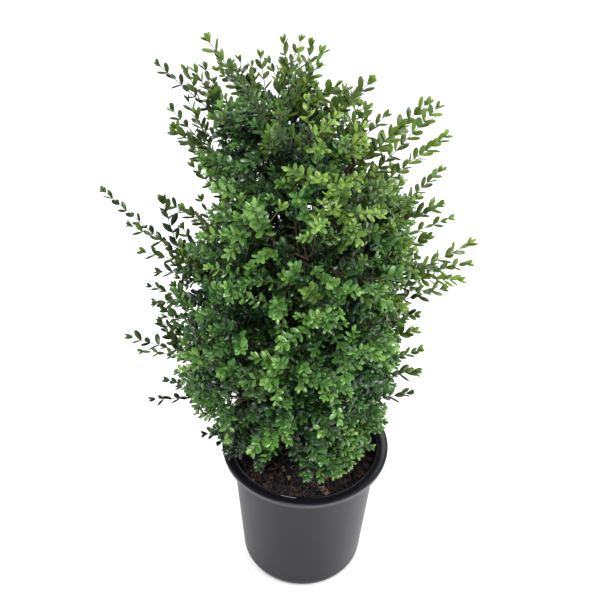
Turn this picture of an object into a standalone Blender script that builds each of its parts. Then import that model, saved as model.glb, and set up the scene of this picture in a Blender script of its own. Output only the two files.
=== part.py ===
"""A boxwood shrub growing in a round nursery pot, about 0.95 m tall with its pot.

Metres, +Z up. The origin is the centre of the pot's flat underside, and -Y is the front.
The shrub has a short trunk with a root flare, five main stems that fork from it, a bough
from a stem to every mass of foliage, and 24 masses of twigs and leaves. Every piece is
one closed solid, 0.3 mm clear of the piece that carries it.
"""

import math
import random

import bmesh
import bpy
import numpy as np
from mathutils import Matrix, Vector

CLEAR = 0.0003

# The pot is a turned shell with a flange and a down-turned lip.
RIM_RADIUS = 0.1395
POT_HEIGHT = 0.266
WALL_TOP_RADIUS = 0.1228
BASE_RADIUS = 0.1045
BASE_ROUNDING = 0.024
POT_WALL = 0.0018
LIP_HEIGHT = 0.011
LIP_TUCK = 0.0045
FLANGE_DROP = 0.0045
POT_SIDES = 36

# The potting mix fills the pot and crowns up a little towards the trunk.
SOIL_EDGE_BELOW_RIM = 0.027
SOIL_CROWN = 0.008
SOIL_FLAT_RADIUS = 0.034
SOIL_SIDES = 24
GROUND = POT_HEIGHT - SOIL_EDGE_BELOW_RIM + SOIL_CROWN

# The trunk is a short stub, cut flat at the soil, that forks into the stems.
TRUNK_HEIGHT = 0.038
TRUNK_FLARE_RADIUS = 0.027
TRUNK_WAIST_RADIUS = 0.0165
TRUNK_TOP_RADIUS = 0.0175
TRUNK_LEAN = Vector((-0.004, 0.002, 0.0))

STEM_COUNT = 5
FIRST_STEM_AZIMUTH = -54.0
STEM_RING = 0.0112
STEM_BASE_RADIUS = 0.0050
STEM_TIP_RADIUS = 0.0030
STEM_BEND_RING = 0.044
STEM_BEND_HEIGHT = 0.44
BOUGH_BASE_RADIUS = 0.0034
BOUGH_TIP_RADIUS = 0.0026
STEM_STEPS = 8
BOUGH_STEPS = 3
LIMB_WANDER = 0.0022
LIMB_END = 0.012

# The crown at a few heights: its radius out to the tips of its even leaves, and how far
# to the right its middle lies. It is a little wider than it is deep.
CROWN_WIDER = 1.04
CROWN_SHALLOWER = 0.94
CROWN_PROFILE = (
    (0.255, 0.050, -0.020),
    (0.285, 0.112, -0.024),
    (0.320, 0.154, -0.028),
    (0.380, 0.184, -0.034),
    (0.480, 0.208, -0.037),
    (0.560, 0.214, -0.033),
    (0.620, 0.212, -0.020),
    (0.700, 0.192, -0.006),
    (0.800, 0.180, -0.004),
    (0.860, 0.166, -0.018),
    (0.905, 0.132, -0.030),
    (0.935, 0.088, -0.040),
    (0.952, 0.020, -0.044),
)
CORE_INSET = 0.046
CORE_REACH = 0.092

# Each tier of masses: name, how many, first azimuth, height and distance of a mass's middle,
# the height at which its bough or stem enters it, and the share of the stem where the bough starts.
TIERS = (
    ("skirt", 5, -54.0, 0.348, 0.092, 0.322, 0.09),
    ("low", 5, -18.0, 0.455, 0.122, 0.428, 0.30),
    ("middle", 5, -54.0, 0.580, 0.124, 0.552, 0.58),
    ("upper", 5, -18.0, 0.700, 0.106, 0.660, None),
    ("top", 4, 0.0, 0.828, 0.074, 0.752, 0.70),
)
INNER_LIMIT = 0.0550
ENTRY_RING = 0.0515
TOP_FLOOR = 0.757
TOP_ENTRY_RING = 0.036
TOP_BEND_RING = 0.021
TOP_BEND_HEIGHT = 0.665
TOP_STEMS = (0, 1, 3, 4)
CELL_GAP = 0.0012

# Leaves here are larger than life, each for a small spray.
LEAF_LENGTH = 0.041
LEAF_WIDTH = 0.024
LEAF_THICKNESS = 0.0030
LEAF_CUP = 0.0022
LEAF_SPREAD = 58.0
PAIR_SPACING = 0.026
PAIR_STAGGER = 0.004
TWIG_RADIUS = 0.0019
TWIG_TIP_RADIUS = 0.0012
TWIGS_PER_MASS = 5
WAYS_TRIED = 80
OPEN_SHARE = 0.6
TIP_MARGIN = 0.010
PAIRS_PER_TWIG = 1
PAIRS_PER_SHOOT = 2
FEWEST_LEAVES = 2

# The long shoots that stand out of the crown: azimuth, and the tip's distance and height.
LONG_SHOOTS = (
    (183.0, 0.292, 0.731),
    (168.0, 0.250, 0.645),
    (186.0, 0.282, 0.475),
    (192.0, 0.252, 0.352),
    (174.0, 0.196, 0.800),
    (184.0, 0.196, 0.852),
    (180.0, 0.212, 0.912),
    (172.0, 0.140, 0.945),
    (140.0, 0.055, 0.957),
    (5.0, 0.066, 0.910),
    (-6.0, 0.156, 0.876),
    (8.0, 0.172, 0.826),
    (-8.0, 0.176, 0.770),
    (-4.0, 0.226, 0.675),
    (4.0, 0.222, 0.610),
    (-8.0, 0.176, 0.460),
    (60.0, 0.218, 0.760),
    (95.0, 0.225, 0.560),
    (125.0, 0.200, 0.860),
    (-70.0, 0.196, 0.800),
    (-112.0, 0.218, 0.600),
)


def clear_scene():
    for thing in list(bpy.data.objects):
        bpy.data.objects.remove(thing)


def new_collection(name):
    collection = bpy.data.collections.new(name)
    bpy.context.scene.collection.children.link(collection)
    return collection


def plain_material(name, colour, roughness):
    material = bpy.data.materials.new(name)
    material.use_nodes = True
    shader = material.node_tree.nodes["Principled BSDF"]
    shader.inputs["Base Color"].default_value = (*colour, 1.0)
    shader.inputs["Roughness"].default_value = roughness
    shader.inputs["Metallic"].default_value = 0.0
    return material


def new_object(name, mesh, collection, material=None):
    thing = bpy.data.objects.new(name, mesh)
    collection.objects.link(thing)
    if material is not None:
        mesh.materials.clear()
        mesh.materials.append(material)
    return thing


def evaluated_mesh(thing):
    """The object's mesh with its modifiers or its bevel applied, and its doubles merged."""
    bpy.context.view_layer.update()
    graph = bpy.context.evaluated_depsgraph_get()
    mesh = bpy.data.meshes.new_from_object(thing.evaluated_get(graph))
    work = bmesh.new()
    work.from_mesh(mesh)
    bmesh.ops.remove_doubles(work, verts=work.verts, dist=1e-6)
    work.to_mesh(mesh)
    work.free()
    return mesh


def keep_main_body(mesh):
    """Drops every loose scrap and sealed hollow: of the bodies of faces that share edges, the largest stays."""
    work = bmesh.new()
    work.from_mesh(mesh)
    unseen = set(work.faces)
    bodies = []
    while unseen:
        body = [unseen.pop()]
        for face in body:
            for edge in face.edges:
                for other in edge.link_faces:
                    if other in unseen:
                        unseen.remove(other)
                        body.append(other)
        bodies.append(body)
    bodies.sort(key=len)
    for body in bodies[:-1]:
        bmesh.ops.delete(work, geom=body, context="FACES")
    work.to_mesh(mesh)
    work.free()


def shade(thing, degrees=35.0):
    thing.data.shade_smooth()
    thing.data.set_sharp_from_angle(angle=math.radians(degrees))


def on_ring(azimuth, ring, height):
    """The point at that azimuth in degrees, distance from the pot's axis, and height."""
    angle = math.radians(azimuth)
    return Vector((ring * math.cos(angle), ring * math.sin(angle), height))


def turned(name, profile, sides, collection, material):
    """A solid turned round +Z from a profile that starts on the axis, goes out, and comes back to it."""
    mesh = bpy.data.meshes.new(name)
    points = [(radius, 0.0, height) for radius, height in profile]
    mesh.from_pydata(points, [(i, i + 1) for i in range(len(points) - 1)], [])
    thing = new_object(name, mesh, collection, material)
    screw = thing.modifiers.new("turn", "SCREW")
    screw.steps = sides
    screw.render_steps = sides
    screw.use_merge_vertices = True
    screw.merge_threshold = 0.00005
    return thing


def wall_radius(height):
    """The pot's outer radius at a height above the rounded foot."""
    return BASE_RADIUS + (WALL_TOP_RADIUS - BASE_RADIUS) * height / POT_HEIGHT


def foot_arc(inset, steps=3):
    """The rounded foot's quarter circle from the wall down to the base, moved in by the inset."""
    rounding = BASE_ROUNDING - inset
    middle = wall_radius(BASE_ROUNDING) - BASE_ROUNDING
    for step in range(steps + 1):
        angle = 0.5 * math.pi * step / steps
        yield middle + rounding * math.cos(angle), BASE_ROUNDING - rounding * math.sin(angle)


def pot_solid(collection, material):
    """Floor, wall, flange that flares out, and a lip turned down at its edge."""
    under_flange = POT_HEIGHT - FLANGE_DROP - POT_WALL
    inner_top = wall_radius(under_flange) - POT_WALL
    inside = [(0.0, POT_WALL), *reversed(list(foot_arc(POT_WALL))), (inner_top, under_flange)]
    rim = [
        (inner_top + 0.0020, POT_HEIGHT - FLANGE_DROP + 0.0010),
        (RIM_RADIUS - 0.0062, POT_HEIGHT - 0.0008),
        (RIM_RADIUS - 0.0036, POT_HEIGHT),
        (RIM_RADIUS - 0.0012, POT_HEIGHT - 0.0010),
        (RIM_RADIUS, POT_HEIGHT - 0.0032),
        (RIM_RADIUS - 0.0008, POT_HEIGHT - LIP_HEIGHT),
        (RIM_RADIUS - 0.0008 - POT_WALL, POT_HEIGHT - LIP_HEIGHT),
        (RIM_RADIUS - LIP_TUCK, POT_HEIGHT - 0.0050),
        (wall_radius(under_flange) + 0.0016, under_flange - 0.0014),
        (wall_radius(under_flange), under_flange - 0.0040),
    ]
    outside = [*foot_arc(0.0), (0.0, 0.0)]
    pot = turned("pot", inside + rim + outside, POT_SIDES, collection, material)
    pot.data = evaluated_mesh(pot)
    pot.modifiers.clear()
    shade(pot)
    return pot


def soil_solid(collection, material):
    """The plug of potting mix, clear of the pot's wall and floor, flat on top under the trunk."""
    inset = POT_WALL + CLEAR
    edge_height = POT_HEIGHT - SOIL_EDGE_BELOW_RIM
    edge = wall_radius(edge_height) - inset - CLEAR
    foot = [(radius - CLEAR, height) for radius, height in foot_arc(inset)]
    crown = [
        (SOIL_FLAT_RADIUS, GROUND),
        (0.062, GROUND - 0.0012),
        (0.092, GROUND - 0.0044),
        (edge, edge_height),
    ]
    profile = [(0.0, GROUND), *crown, *foot, (0.0, inset)]
    soil = turned("soil", profile, SOIL_SIDES, collection, material)
    soil.data = evaluated_mesh(soil)
    soil.modifiers.clear()
    shade(soil)
    return soil


def limb_path(start, bend, end, seed, steps):
    """Points along a curve that starts at one point, leans towards the bend and ends at the last.

    The points between wander a little, more in the middle, as a grown limb does.
    """
    dice = random.Random(seed)
    points = []
    for step in range(steps + 1):
        t = step / steps
        point = start * (1 - t) ** 2 + bend * 2 * t * (1 - t) + end * t * t
        wander = LIMB_WANDER * 4 * t * (1 - t)
        points.append(point + Vector([dice.uniform(-wander, wander) for _ in range(3)]))
    return points


def limb_mesh(name, points, radii, collection, bevel=2):
    """A tapering tube along the points, as one closed mesh."""
    curve = bpy.data.curves.new(name, "CURVE")
    curve.dimensions = "3D"
    curve.bevel_depth = 1.0
    curve.bevel_resolution = bevel
    curve.use_fill_caps = True
    spline = curve.splines.new("POLY")
    spline.points.add(len(points) - 1)
    for knot, point, radius in zip(spline.points, points, radii):
        knot.co = (*point, 1.0)
        knot.radius = radius
    guide = bpy.data.objects.new(name, curve)
    collection.objects.link(guide)
    mesh = evaluated_mesh(guide)
    bpy.data.objects.remove(guide)
    bpy.data.curves.remove(curve)
    return mesh


def taper(first, last, count):
    return [first + (last - first) * i / (count - 1) for i in range(count)]


def cut_clear(thing, carrier_mesh, collection):
    """Cuts the limb back by the bark of the one that carries it, drawn 0.3 mm larger."""
    cutter = new_object("cutter", carrier_mesh, collection)
    cut = thing.modifiers.new("saddle", "BOOLEAN")
    cut.operation = "DIFFERENCE"
    cut.solver = "EXACT"
    cut.object = cutter
    thing.data = evaluated_mesh(thing)
    thing.modifiers.clear()
    keep_main_body(thing.data)
    bpy.data.objects.remove(cutter)


def trunk_mesh(name, extra, collection):
    """The trunk from its flat cut at the soil up to its fork, thicker and higher by the extra.

    The foot's ring of corners is drawn in and out into five low root ribs.
    """
    heights = (0.0, 0.006, 0.016, TRUNK_HEIGHT + extra)
    radii = (TRUNK_FLARE_RADIUS, 0.0205, TRUNK_WAIST_RADIUS, TRUNK_TOP_RADIUS)
    foot = Vector((0.0, 0.0, GROUND + CLEAR))
    points = [
        foot + TRUNK_LEAN * (height / TRUNK_HEIGHT) ** 2 + Vector((0.0, 0.0, height)) for height in heights
    ]
    mesh = limb_mesh(name, points, [radius + extra for radius in radii], collection, bevel=3)
    for corner in mesh.vertices:
        above = corner.co.z - foot.z
        share = max(0.0, 1.0 - above / 0.016)
        angle = math.atan2(corner.co.y, corner.co.x)
        swell = 1.0 + 0.10 * share * math.cos(STEM_COUNT * angle)
        corner.co.x *= swell
        corner.co.y *= swell
        if above < 0.001:
            corner.co.z = foot.z
    return mesh


def stem_azimuth(index):
    return FIRST_STEM_AZIMUTH + 360.0 / STEM_COUNT * index


def stem_line(index, mass):
    """Points and radii of a main stem, from inside the trunk's top to the mass that its tip enters."""
    azimuth = stem_azimuth(index)
    fork = GROUND + CLEAR + TRUNK_HEIGHT
    start = on_ring(azimuth, STEM_RING, fork - 0.006) + TRUNK_LEAN
    bend = on_ring(azimuth, STEM_BEND_RING, STEM_BEND_HEIGHT)
    into = (mass.middle - mass.entry).normalized()
    last = mass.entry - into * LIMB_END
    points = limb_path(start, bend, last, 100 + index, STEM_STEPS) + [mass.entry]
    return points, taper(STEM_BASE_RADIUS, STEM_TIP_RADIUS, len(points))


def crown_radius(height):
    """The crown's radius at a height, from its profile, and 0 above and below it."""
    heights, radii, _ = zip(*CROWN_PROFILE)
    return np.interp(height, heights, radii, left=0.0, right=0.0)


def crown_middle(height):
    """How far to the right the crown's middle lies at a height."""
    heights, _, middles = zip(*CROWN_PROFILE)
    return np.interp(height, heights, middles)


def inside_crown(points, inset=0.0):
    """Which points lie in the crown, once its outline is drawn in by the inset."""
    height = points[:, 2]
    rightward = (points[:, 0] - crown_middle(height)) / CROWN_WIDER
    across = np.hypot(rightward, points[:, 1] / CROWN_SHALLOWER)
    radius = np.minimum(crown_radius(height + inset), crown_radius(height - 0.7 * inset))
    return across <= np.minimum(radius, crown_radius(height)) - inset


def clear_of_pot(points, margin):
    """Which points lie above the soil inside the pot, above its rim over the rim, or well outside it."""
    across = np.hypot(points[:, 0], points[:, 1])
    over_soil = (across < WALL_TOP_RADIUS - 0.006) & (points[:, 2] > GROUND + margin)
    over_rim = points[:, 2] > POT_HEIGHT + margin
    return over_soil | over_rim


class Mass:
    """One mass of foliage: its middle, its way in, and the space that it keeps to."""

    def __init__(self, name, azimuth, tier, height, ring, entry_height):
        self.name = name
        self.azimuth = azimuth
        self.tier = tier
        self.middle = on_ring(azimuth, ring, height) + Vector((float(crown_middle(height)), 0.0, 0.0))
        self.outward = on_ring(azimuth, 1.0, 0.25).normalized()
        entry_ring = ENTRY_RING
        if tier == "top":
            self.outward = on_ring(azimuth, 0.75, 1.0).normalized()
            entry_ring = TOP_ENTRY_RING
        self.entry = on_ring(azimuth, entry_ring, entry_height)
        self.shoots = []
        self.normals = None
        self.limits = None

    def take_space(self, masses):
        """The half-spaces nearer to this mass's middle than to any other's, beyond the stems."""
        normals, limits = [], []
        for other in masses:
            if other is self:
                continue
            way = (other.middle - self.middle).normalized()
            normals.append(way)
            limits.append(way.dot((other.middle + self.middle) / 2) - CELL_GAP)
        if self.tier == "top":
            normals.append(Vector((0.0, 0.0, -1.0)))
            limits.append(-TOP_FLOOR)
        else:
            inward = on_ring(self.azimuth, -1.0, 0.0)
            normals.append(inward)
            limits.append(-INNER_LIMIT)
        self.normals = np.array([tuple(way) for way in normals])
        self.limits = np.array(limits)

    def holds(self, points, margin=0.0):
        """Which points lie in this mass's own space, and clear of the pot."""
        own = (points @ self.normals.T <= self.limits - margin).all(axis=1)
        return own & clear_of_pot(points, 0.004 + margin)

    def reach(self, way, inset):
        """How far this mass reaches from its middle along a way, in the crown drawn in by the inset."""
        steps = np.arange(0.004, 0.30, 0.002)
        points = np.array(tuple(self.middle)) + steps[:, None] * np.array(tuple(way))
        held = self.holds(points) & inside_crown(points, inset)
        return float(steps[np.argmin(held)]) if not held.all() else float(steps[-1])


def plan_masses():
    """Every mass, tier by tier, with its space and the long shoots whose tips lie in it."""
    masses = []
    for tier, count, first, height, ring, entry_height, _ in TIERS:
        for index in range(count):
            name = f"foliage_{tier}_{index + 1}"
            azimuth = first + 360.0 / count * index
            masses.append(Mass(name, azimuth, tier, height, ring, entry_height))
    for mass in masses:
        mass.take_space(masses)
    for azimuth, ring, height in LONG_SHOOTS:
        tip = on_ring(azimuth, ring, height)
        spot = np.array([tuple(tip)])
        owner = next((mass for mass in masses if mass.holds(spot)[0]), None)
        if owner is not None:
            owner.shoots.append(tip)
    return masses


def core_object(mass, collection, dice):
    """The dense middle of a mass: a ball whose every corner is drawn out to the space that it has."""
    work = bmesh.new()
    bmesh.ops.create_icosphere(work, subdivisions=2, radius=1.0)
    for corner in work.verts:
        way = corner.co.normalized()
        far = min(mass.reach(way, CORE_INSET), CORE_REACH)
        corner.co = mass.middle + way * far * dice.uniform(0.87, 0.98)
    mesh = bpy.data.meshes.new(mass.name)
    work.to_mesh(mesh)
    work.free()
    return new_object(mass.name, mesh, collection)


def leaf_mesh():
    """A leaf of eight faces along +X, its root at the origin, cupped upwards a little."""
    work = bmesh.new()
    bmesh.ops.create_uvsphere(work, u_segments=4, v_segments=2, radius=0.5)
    for corner in work.verts:
        rise = LEAF_CUP * 2.0 * abs(corner.co.y)
        corner.co = Vector(
            (
                (corner.co.x + 0.5) * LEAF_LENGTH,
                corner.co.y * LEAF_WIDTH,
                corner.co.z * LEAF_THICKNESS + rise,
            )
        )
    mesh = bpy.data.meshes.new("leaf")
    work.to_mesh(mesh)
    work.free()
    return mesh


def twig_mesh(base, tip, base_radius, tip_radius):
    """A straight three-sided twig."""
    way = tip - base
    work = bmesh.new()
    bmesh.ops.create_cone(
        work, cap_ends=True, segments=3, radius1=base_radius, radius2=tip_radius, depth=way.length
    )
    place = Matrix.Translation((base + tip) / 2) @ way.to_track_quat("Z", "Y").to_matrix().to_4x4()
    bmesh.ops.transform(work, matrix=place, verts=work.verts)
    mesh = bpy.data.meshes.new("twig")
    work.to_mesh(mesh)
    work.free()
    return mesh


def leaf_place(root, way, up):
    """The matrix that lays a leaf from its root along a way, its upper side towards up."""
    side = up.cross(way).normalized()
    top = way.cross(side).normalized()
    turn = Matrix((way, side, top)).transposed().to_4x4()
    return Matrix.Translation(root) @ turn


def corners_of(mesh, place):
    return np.array([tuple(place @ corner.co) for corner in mesh.vertices])


def leaf_if_held(mass, root, way, up, leaf, dice):
    """The place of one leaf, or None where it would leave the mass's own space."""
    up = (up + Vector([dice.uniform(-0.35, 0.35) for _ in range(3)])).normalized()
    sunk = root - way * TWIG_RADIUS * 0.4
    place = leaf_place(sunk, way, up) @ Matrix.Scale(dice.uniform(0.88, 1.08), 4)
    return place if mass.holds(corners_of(leaf, place)).all() else None


def add_shoot(mass, tip, pairs, leaf, pieces, dice):
    """A twig from the mass's middle to the tip, with crossed pairs of leaves and one at its end.

    A shoot that keeps too few leaves inside the mass's space is left out.
    """
    way = (tip - mass.middle).normalized()
    end = tip - way * LEAF_LENGTH
    side = way.orthogonal().normalized()
    end_up = way.cross(Vector([dice.uniform(-1.0, 1.0) for _ in range(3)]))
    places = [leaf_if_held(mass, end, way, end_up.normalized(), leaf, dice)]
    turn = dice.uniform(0.0, 180.0)
    for pair in range(pairs):
        node = end - way * (0.006 + PAIR_SPACING * pair)
        if (node - mass.middle).length < 0.012:
            break
        turn += 90.0 + dice.uniform(-15.0, 15.0)
        for half in (0, 1):
            root = node - way * PAIR_STAGGER * half
            around = Matrix.Rotation(math.radians(turn + 180.0 * half), 3, way) @ side
            spread = math.radians(LEAF_SPREAD + dice.uniform(-8.0, 8.0))
            lay = way * math.cos(spread) + around * math.sin(spread)
            places.append(leaf_if_held(mass, root, lay, way, leaf, dice))
    places = [place for place in places if place is not None]
    twig = twig_mesh(mass.middle, end, TWIG_RADIUS, TWIG_TIP_RADIUS)
    if len(places) < FEWEST_LEAVES or not mass.holds(corners_of(twig, Matrix.Identity(4))).all():
        return 0
    new_object("twig", twig, pieces)
    for place in places:
        thing = new_object("leaf", leaf, pieces)
        thing.matrix_world = place
    return len(places)


def twig_tips(mass, dice):
    """Points spread over the part of the crown's outline that belongs to the mass.

    Directions are tried by the golden angle. Of the points where they come out, each next
    one taken is the furthest from those that are taken already. Long shoots take the place of some.
    """
    side = mass.outward.orthogonal().normalized()
    first = dice.uniform(0.0, 360.0)
    open_tips = []
    for index in range(WAYS_TRIED):
        lean = math.acos(1.0 - 1.4 * (index + 0.5) / WAYS_TRIED)
        around = Matrix.Rotation(math.radians(first + 137.5 * index), 3, mass.outward) @ side
        way = (mass.outward * math.cos(lean) + around * math.sin(lean)).normalized()
        far = mass.reach(way, 0.0)
        tip = mass.middle + way * far
        shows = far - mass.reach(way, CORE_INSET) > OPEN_SHARE * CORE_INSET
        if shows and mass.holds(np.array([tuple(tip)]), TIP_MARGIN)[0]:
            open_tips.append(tip)
    wanted = min(TWIGS_PER_MASS - len(mass.shoots) // 2, len(open_tips))
    tips = open_tips[:1]
    while len(tips) < wanted:
        tips.append(max(open_tips, key=lambda tip: min((tip - other).length for other in tips)))
    return tips


def mass_solid(mass, seed, leaf, collection, material):
    """Core, stem, twigs and leaves of one mass, fused into one solid."""
    dice = random.Random(seed)
    core = core_object(mass, collection, dice)
    pieces = new_collection("pieces")
    inward = (mass.middle - mass.entry).normalized()
    root = mass.entry + inward * CLEAR
    root_points = [root, root.lerp(mass.middle, 0.55), mass.middle]
    radii = (BOUGH_TIP_RADIUS, BOUGH_TIP_RADIUS * 0.9, TWIG_RADIUS)
    new_object("stem", limb_mesh("stem", root_points, radii, collection, bevel=0), pieces)
    leaves = 0
    for tip in twig_tips(mass, dice):
        tip = mass.middle.lerp(tip, dice.uniform(0.97, 1.04))
        leaves += add_shoot(mass, tip, PAIRS_PER_TWIG, leaf, pieces, dice)
    for tip in mass.shoots:
        leaves += add_shoot(mass, tip, PAIRS_PER_SHOOT, leaf, pieces, dice)
    fuse = core.modifiers.new("fuse", "BOOLEAN")
    fuse.operation = "UNION"
    fuse.solver = "MANIFOLD"
    fuse.operand_type = "COLLECTION"
    fuse.collection = pieces
    core.data = evaluated_mesh(core)
    core.modifiers.clear()
    keep_main_body(core.data)
    core.data.materials.clear()
    core.data.materials.append(material)
    for thing in list(pieces.objects):
        bpy.data.objects.remove(thing)
    bpy.data.collections.remove(pieces)
    return leaves


def bough_line(start, mass, seed):
    """Points and radii of a bough from a point on its stem to the entry of its mass."""
    into = (mass.middle - mass.entry).normalized()
    last = mass.entry - into * LIMB_END
    bend = last - into * 0.45 * (last - start).length
    if mass.tier == "top":
        bend = on_ring(mass.azimuth, TOP_BEND_RING, TOP_BEND_HEIGHT)
    points = limb_path(start, bend, last, seed, BOUGH_STEPS) + [mass.entry]
    return points, taper(BOUGH_BASE_RADIUS, BOUGH_TIP_RADIUS, len(points))


def build():
    clear_scene()
    parts = new_collection("potted_boxwood")
    plastic = plain_material("pot_plastic", (0.062, 0.061, 0.066), 0.45)
    earth = plain_material("potting_mix", (0.030, 0.018, 0.012), 0.95)
    bark = plain_material("bark", (0.145, 0.118, 0.080), 0.85)
    green = plain_material("leaf_green", (0.060, 0.155, 0.038), 0.42)

    pot_solid(parts, plastic)
    soil_solid(parts, earth)
    trunk = new_object("trunk", trunk_mesh("trunk", 0.0, parts), parts, bark)
    shade(trunk)
    masses = plan_masses()
    by_tier = {tier[0]: [mass for mass in masses if mass.tier == tier[0]] for tier in TIERS}

    stems = []
    for index in range(STEM_COUNT):
        points, radii = stem_line(index, by_tier["upper"][index])
        stems.append((points, radii))
        stem = new_object(f"stem_{index + 1}", limb_mesh("stem", points, radii, parts), parts, bark)
        cut_clear(stem, trunk_mesh("cutter", CLEAR, parts), parts)
        shade(stem)

    for tier, count, _, _, _, _, share in TIERS:
        if share is None:
            continue
        carriers = TOP_STEMS if tier == "top" else range(count)
        for index, (mass, carrier) in enumerate(zip(by_tier[tier], carriers)):
            points, radii = stems[carrier]
            place = share * (len(points) - 1)
            whole = int(place)
            start = points[whole].lerp(points[whole + 1], place - whole)
            line, thickness = bough_line(start, mass, seed=200 + 10 * carrier + index)
            solid = limb_mesh("bough", line, thickness, parts, bevel=1)
            bough = new_object(f"bough_{tier}_{index + 1}", solid, parts, bark)
            wide = [radius + CLEAR for radius in radii]
            cut_clear(bough, limb_mesh("cutter", points, wide, parts), parts)
            shade(bough)

    leaf = leaf_mesh()
    leaves = 0
    for index, mass in enumerate(masses):
        leaves += mass_solid(mass, 300 + index, leaf, parts, green)
    print("leaves in the solids:", leaves)


build()
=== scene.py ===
# %% [markdown]
# A boxwood shrub in a black nursery pot, photographed from above and in front.
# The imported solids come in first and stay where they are. Everything that shows is
# then grown over them, so that the plant keeps the size and place of the solids.

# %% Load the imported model
import math
import random

import bpy
import numpy as np
from mathutils import Matrix, Vector


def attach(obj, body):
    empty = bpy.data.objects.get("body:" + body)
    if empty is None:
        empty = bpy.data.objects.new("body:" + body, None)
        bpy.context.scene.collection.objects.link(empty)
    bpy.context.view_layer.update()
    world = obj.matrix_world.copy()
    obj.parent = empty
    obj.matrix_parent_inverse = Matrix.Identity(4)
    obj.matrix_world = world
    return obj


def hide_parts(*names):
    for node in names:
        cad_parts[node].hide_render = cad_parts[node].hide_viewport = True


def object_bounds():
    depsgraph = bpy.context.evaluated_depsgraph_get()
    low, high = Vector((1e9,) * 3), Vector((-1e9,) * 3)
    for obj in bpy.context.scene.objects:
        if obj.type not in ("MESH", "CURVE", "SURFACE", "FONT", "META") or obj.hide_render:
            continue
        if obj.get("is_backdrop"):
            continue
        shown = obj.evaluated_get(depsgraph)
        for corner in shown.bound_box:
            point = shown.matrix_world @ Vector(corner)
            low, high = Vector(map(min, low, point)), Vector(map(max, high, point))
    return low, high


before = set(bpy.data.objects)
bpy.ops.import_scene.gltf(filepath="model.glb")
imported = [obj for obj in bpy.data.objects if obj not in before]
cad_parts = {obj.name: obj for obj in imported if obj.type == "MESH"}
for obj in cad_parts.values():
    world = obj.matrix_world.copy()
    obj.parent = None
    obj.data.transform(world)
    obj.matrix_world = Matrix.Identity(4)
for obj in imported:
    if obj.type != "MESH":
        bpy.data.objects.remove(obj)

CAD_LOW, CAD_HIGH = (np.array(corner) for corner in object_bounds())
print("packed nodes:", len(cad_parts), "box:", CAD_LOW.round(3), CAD_HIGH.round(3))

# %% [markdown]
# The camera was fitted to the pot in the photo: its rim, its walls and its foot fix where
# the camera stood and how far it was pitched down, rolled and turned aside, in degrees.

# %% Camera
CAMERA_PLACE = Vector((0.0, -1.0191, 1.3023))
CAMERA_PITCH = 36.169
CAMERA_ROLL = 1.594
CAMERA_YAW = -0.853
LENS = 51.0
SENSOR_WIDTH = 36.0


def camera_turn(pitch, roll, yaw):
    """The camera's turn from its pitch down, its roll and its yaw, in degrees."""
    pitch, roll, yaw = (math.radians(angle) for angle in (pitch, roll, yaw))
    flat = math.cos(pitch)
    ahead = Vector((math.sin(yaw) * flat, math.cos(yaw) * flat, -math.sin(pitch)))
    level = Vector((math.cos(yaw), -math.sin(yaw), 0.0))
    above = level.cross(ahead)
    right = level * math.cos(roll) + above * math.sin(roll)
    up = above * math.cos(roll) - level * math.sin(roll)
    return Matrix((right, up, -ahead)).transposed().to_4x4()


camera = bpy.data.objects.new("camera", bpy.data.cameras.new("camera"))
bpy.context.scene.collection.objects.link(camera)
turned_to = camera_turn(CAMERA_PITCH, CAMERA_ROLL, CAMERA_YAW)
camera.matrix_world = Matrix.Translation(CAMERA_PLACE) @ turned_to
camera.data.lens = LENS
camera.data.sensor_width = SENSOR_WIDTH
bpy.context.scene.camera = camera
bpy.context.scene.view_settings.view_transform = "Standard"
bpy.context.scene.view_settings.look = "Medium High Contrast"
print("camera stands at", tuple(round(v, 3) for v in CAMERA_PLACE))

# %% [markdown]
# The floor is plain and pale under a soft sky. Of three wide lights the strongest stands
# high up behind the camera, and the others fill in, so that shadows stay faint.

# %% Floor and light
FLOOR_HALF = 8.0


def grey(level):
    """A colour with no hue."""
    return (level, level, level)


def plain_material(name, colour, roughness, specular=0.5):
    """A material of one colour, with its numbers on the shader's own sockets."""
    material = bpy.data.materials.new(name)
    material.use_nodes = True
    shader = material.node_tree.nodes["Principled BSDF"]
    shader.inputs["Base Color"].default_value = (*colour, 1.0)
    shader.inputs["Roughness"].default_value = roughness
    shader.inputs["Specular IOR Level"].default_value = specular
    return material


def area_light(name, place, target, size, power, colour=grey(1.0)):
    """A square light of that size in metres, turned towards the target."""
    light = bpy.data.lights.new(name, "AREA")
    light.size = size
    light.energy = power
    light.color = colour
    lamp = bpy.data.objects.new(name, light)
    lamp.location = place
    lamp.rotation_euler = (Vector(target) - Vector(place)).to_track_quat("-Z", "Y").to_euler()
    bpy.context.scene.collection.objects.link(lamp)


floor_mesh = bpy.data.meshes.new("floor")
floor_corners = [(FLOOR_HALF * x, FLOOR_HALF * y, 0) for x, y in ((-1, -1), (1, -1), (1, 1), (-1, 1))]
floor_mesh.from_pydata(floor_corners, [], [(0, 1, 2, 3)])
floor = bpy.data.objects.new("floor", floor_mesh)
bpy.context.scene.collection.objects.link(floor)
floor_mesh.materials.append(plain_material("floor_pale", grey(0.90), 0.9, 0.1))
floor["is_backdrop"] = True

world = bpy.data.worlds.new("soft_sky")
bpy.context.scene.world = world
world.use_nodes = True
sky = world.node_tree.nodes["Background"]
sky.inputs["Color"].default_value = (0.97, 0.985, 1.0, 1.0)
sky.inputs["Strength"].default_value = 0.95
area_light("key_light", (-0.5, -1.7, 2.9), (0.0, 0.0, 0.6), 1.2, 54.0, (1.0, 0.985, 0.955))
area_light("fill_light", (2.2, -0.7, 1.2), (0.0, 0.0, 0.4), 1.6, 47.0)
area_light("back_light", (0.3, 2.2, 2.3), (0.0, 0.0, 0.7), 1.6, 16.0)
print("floor and three lights are set")

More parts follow.
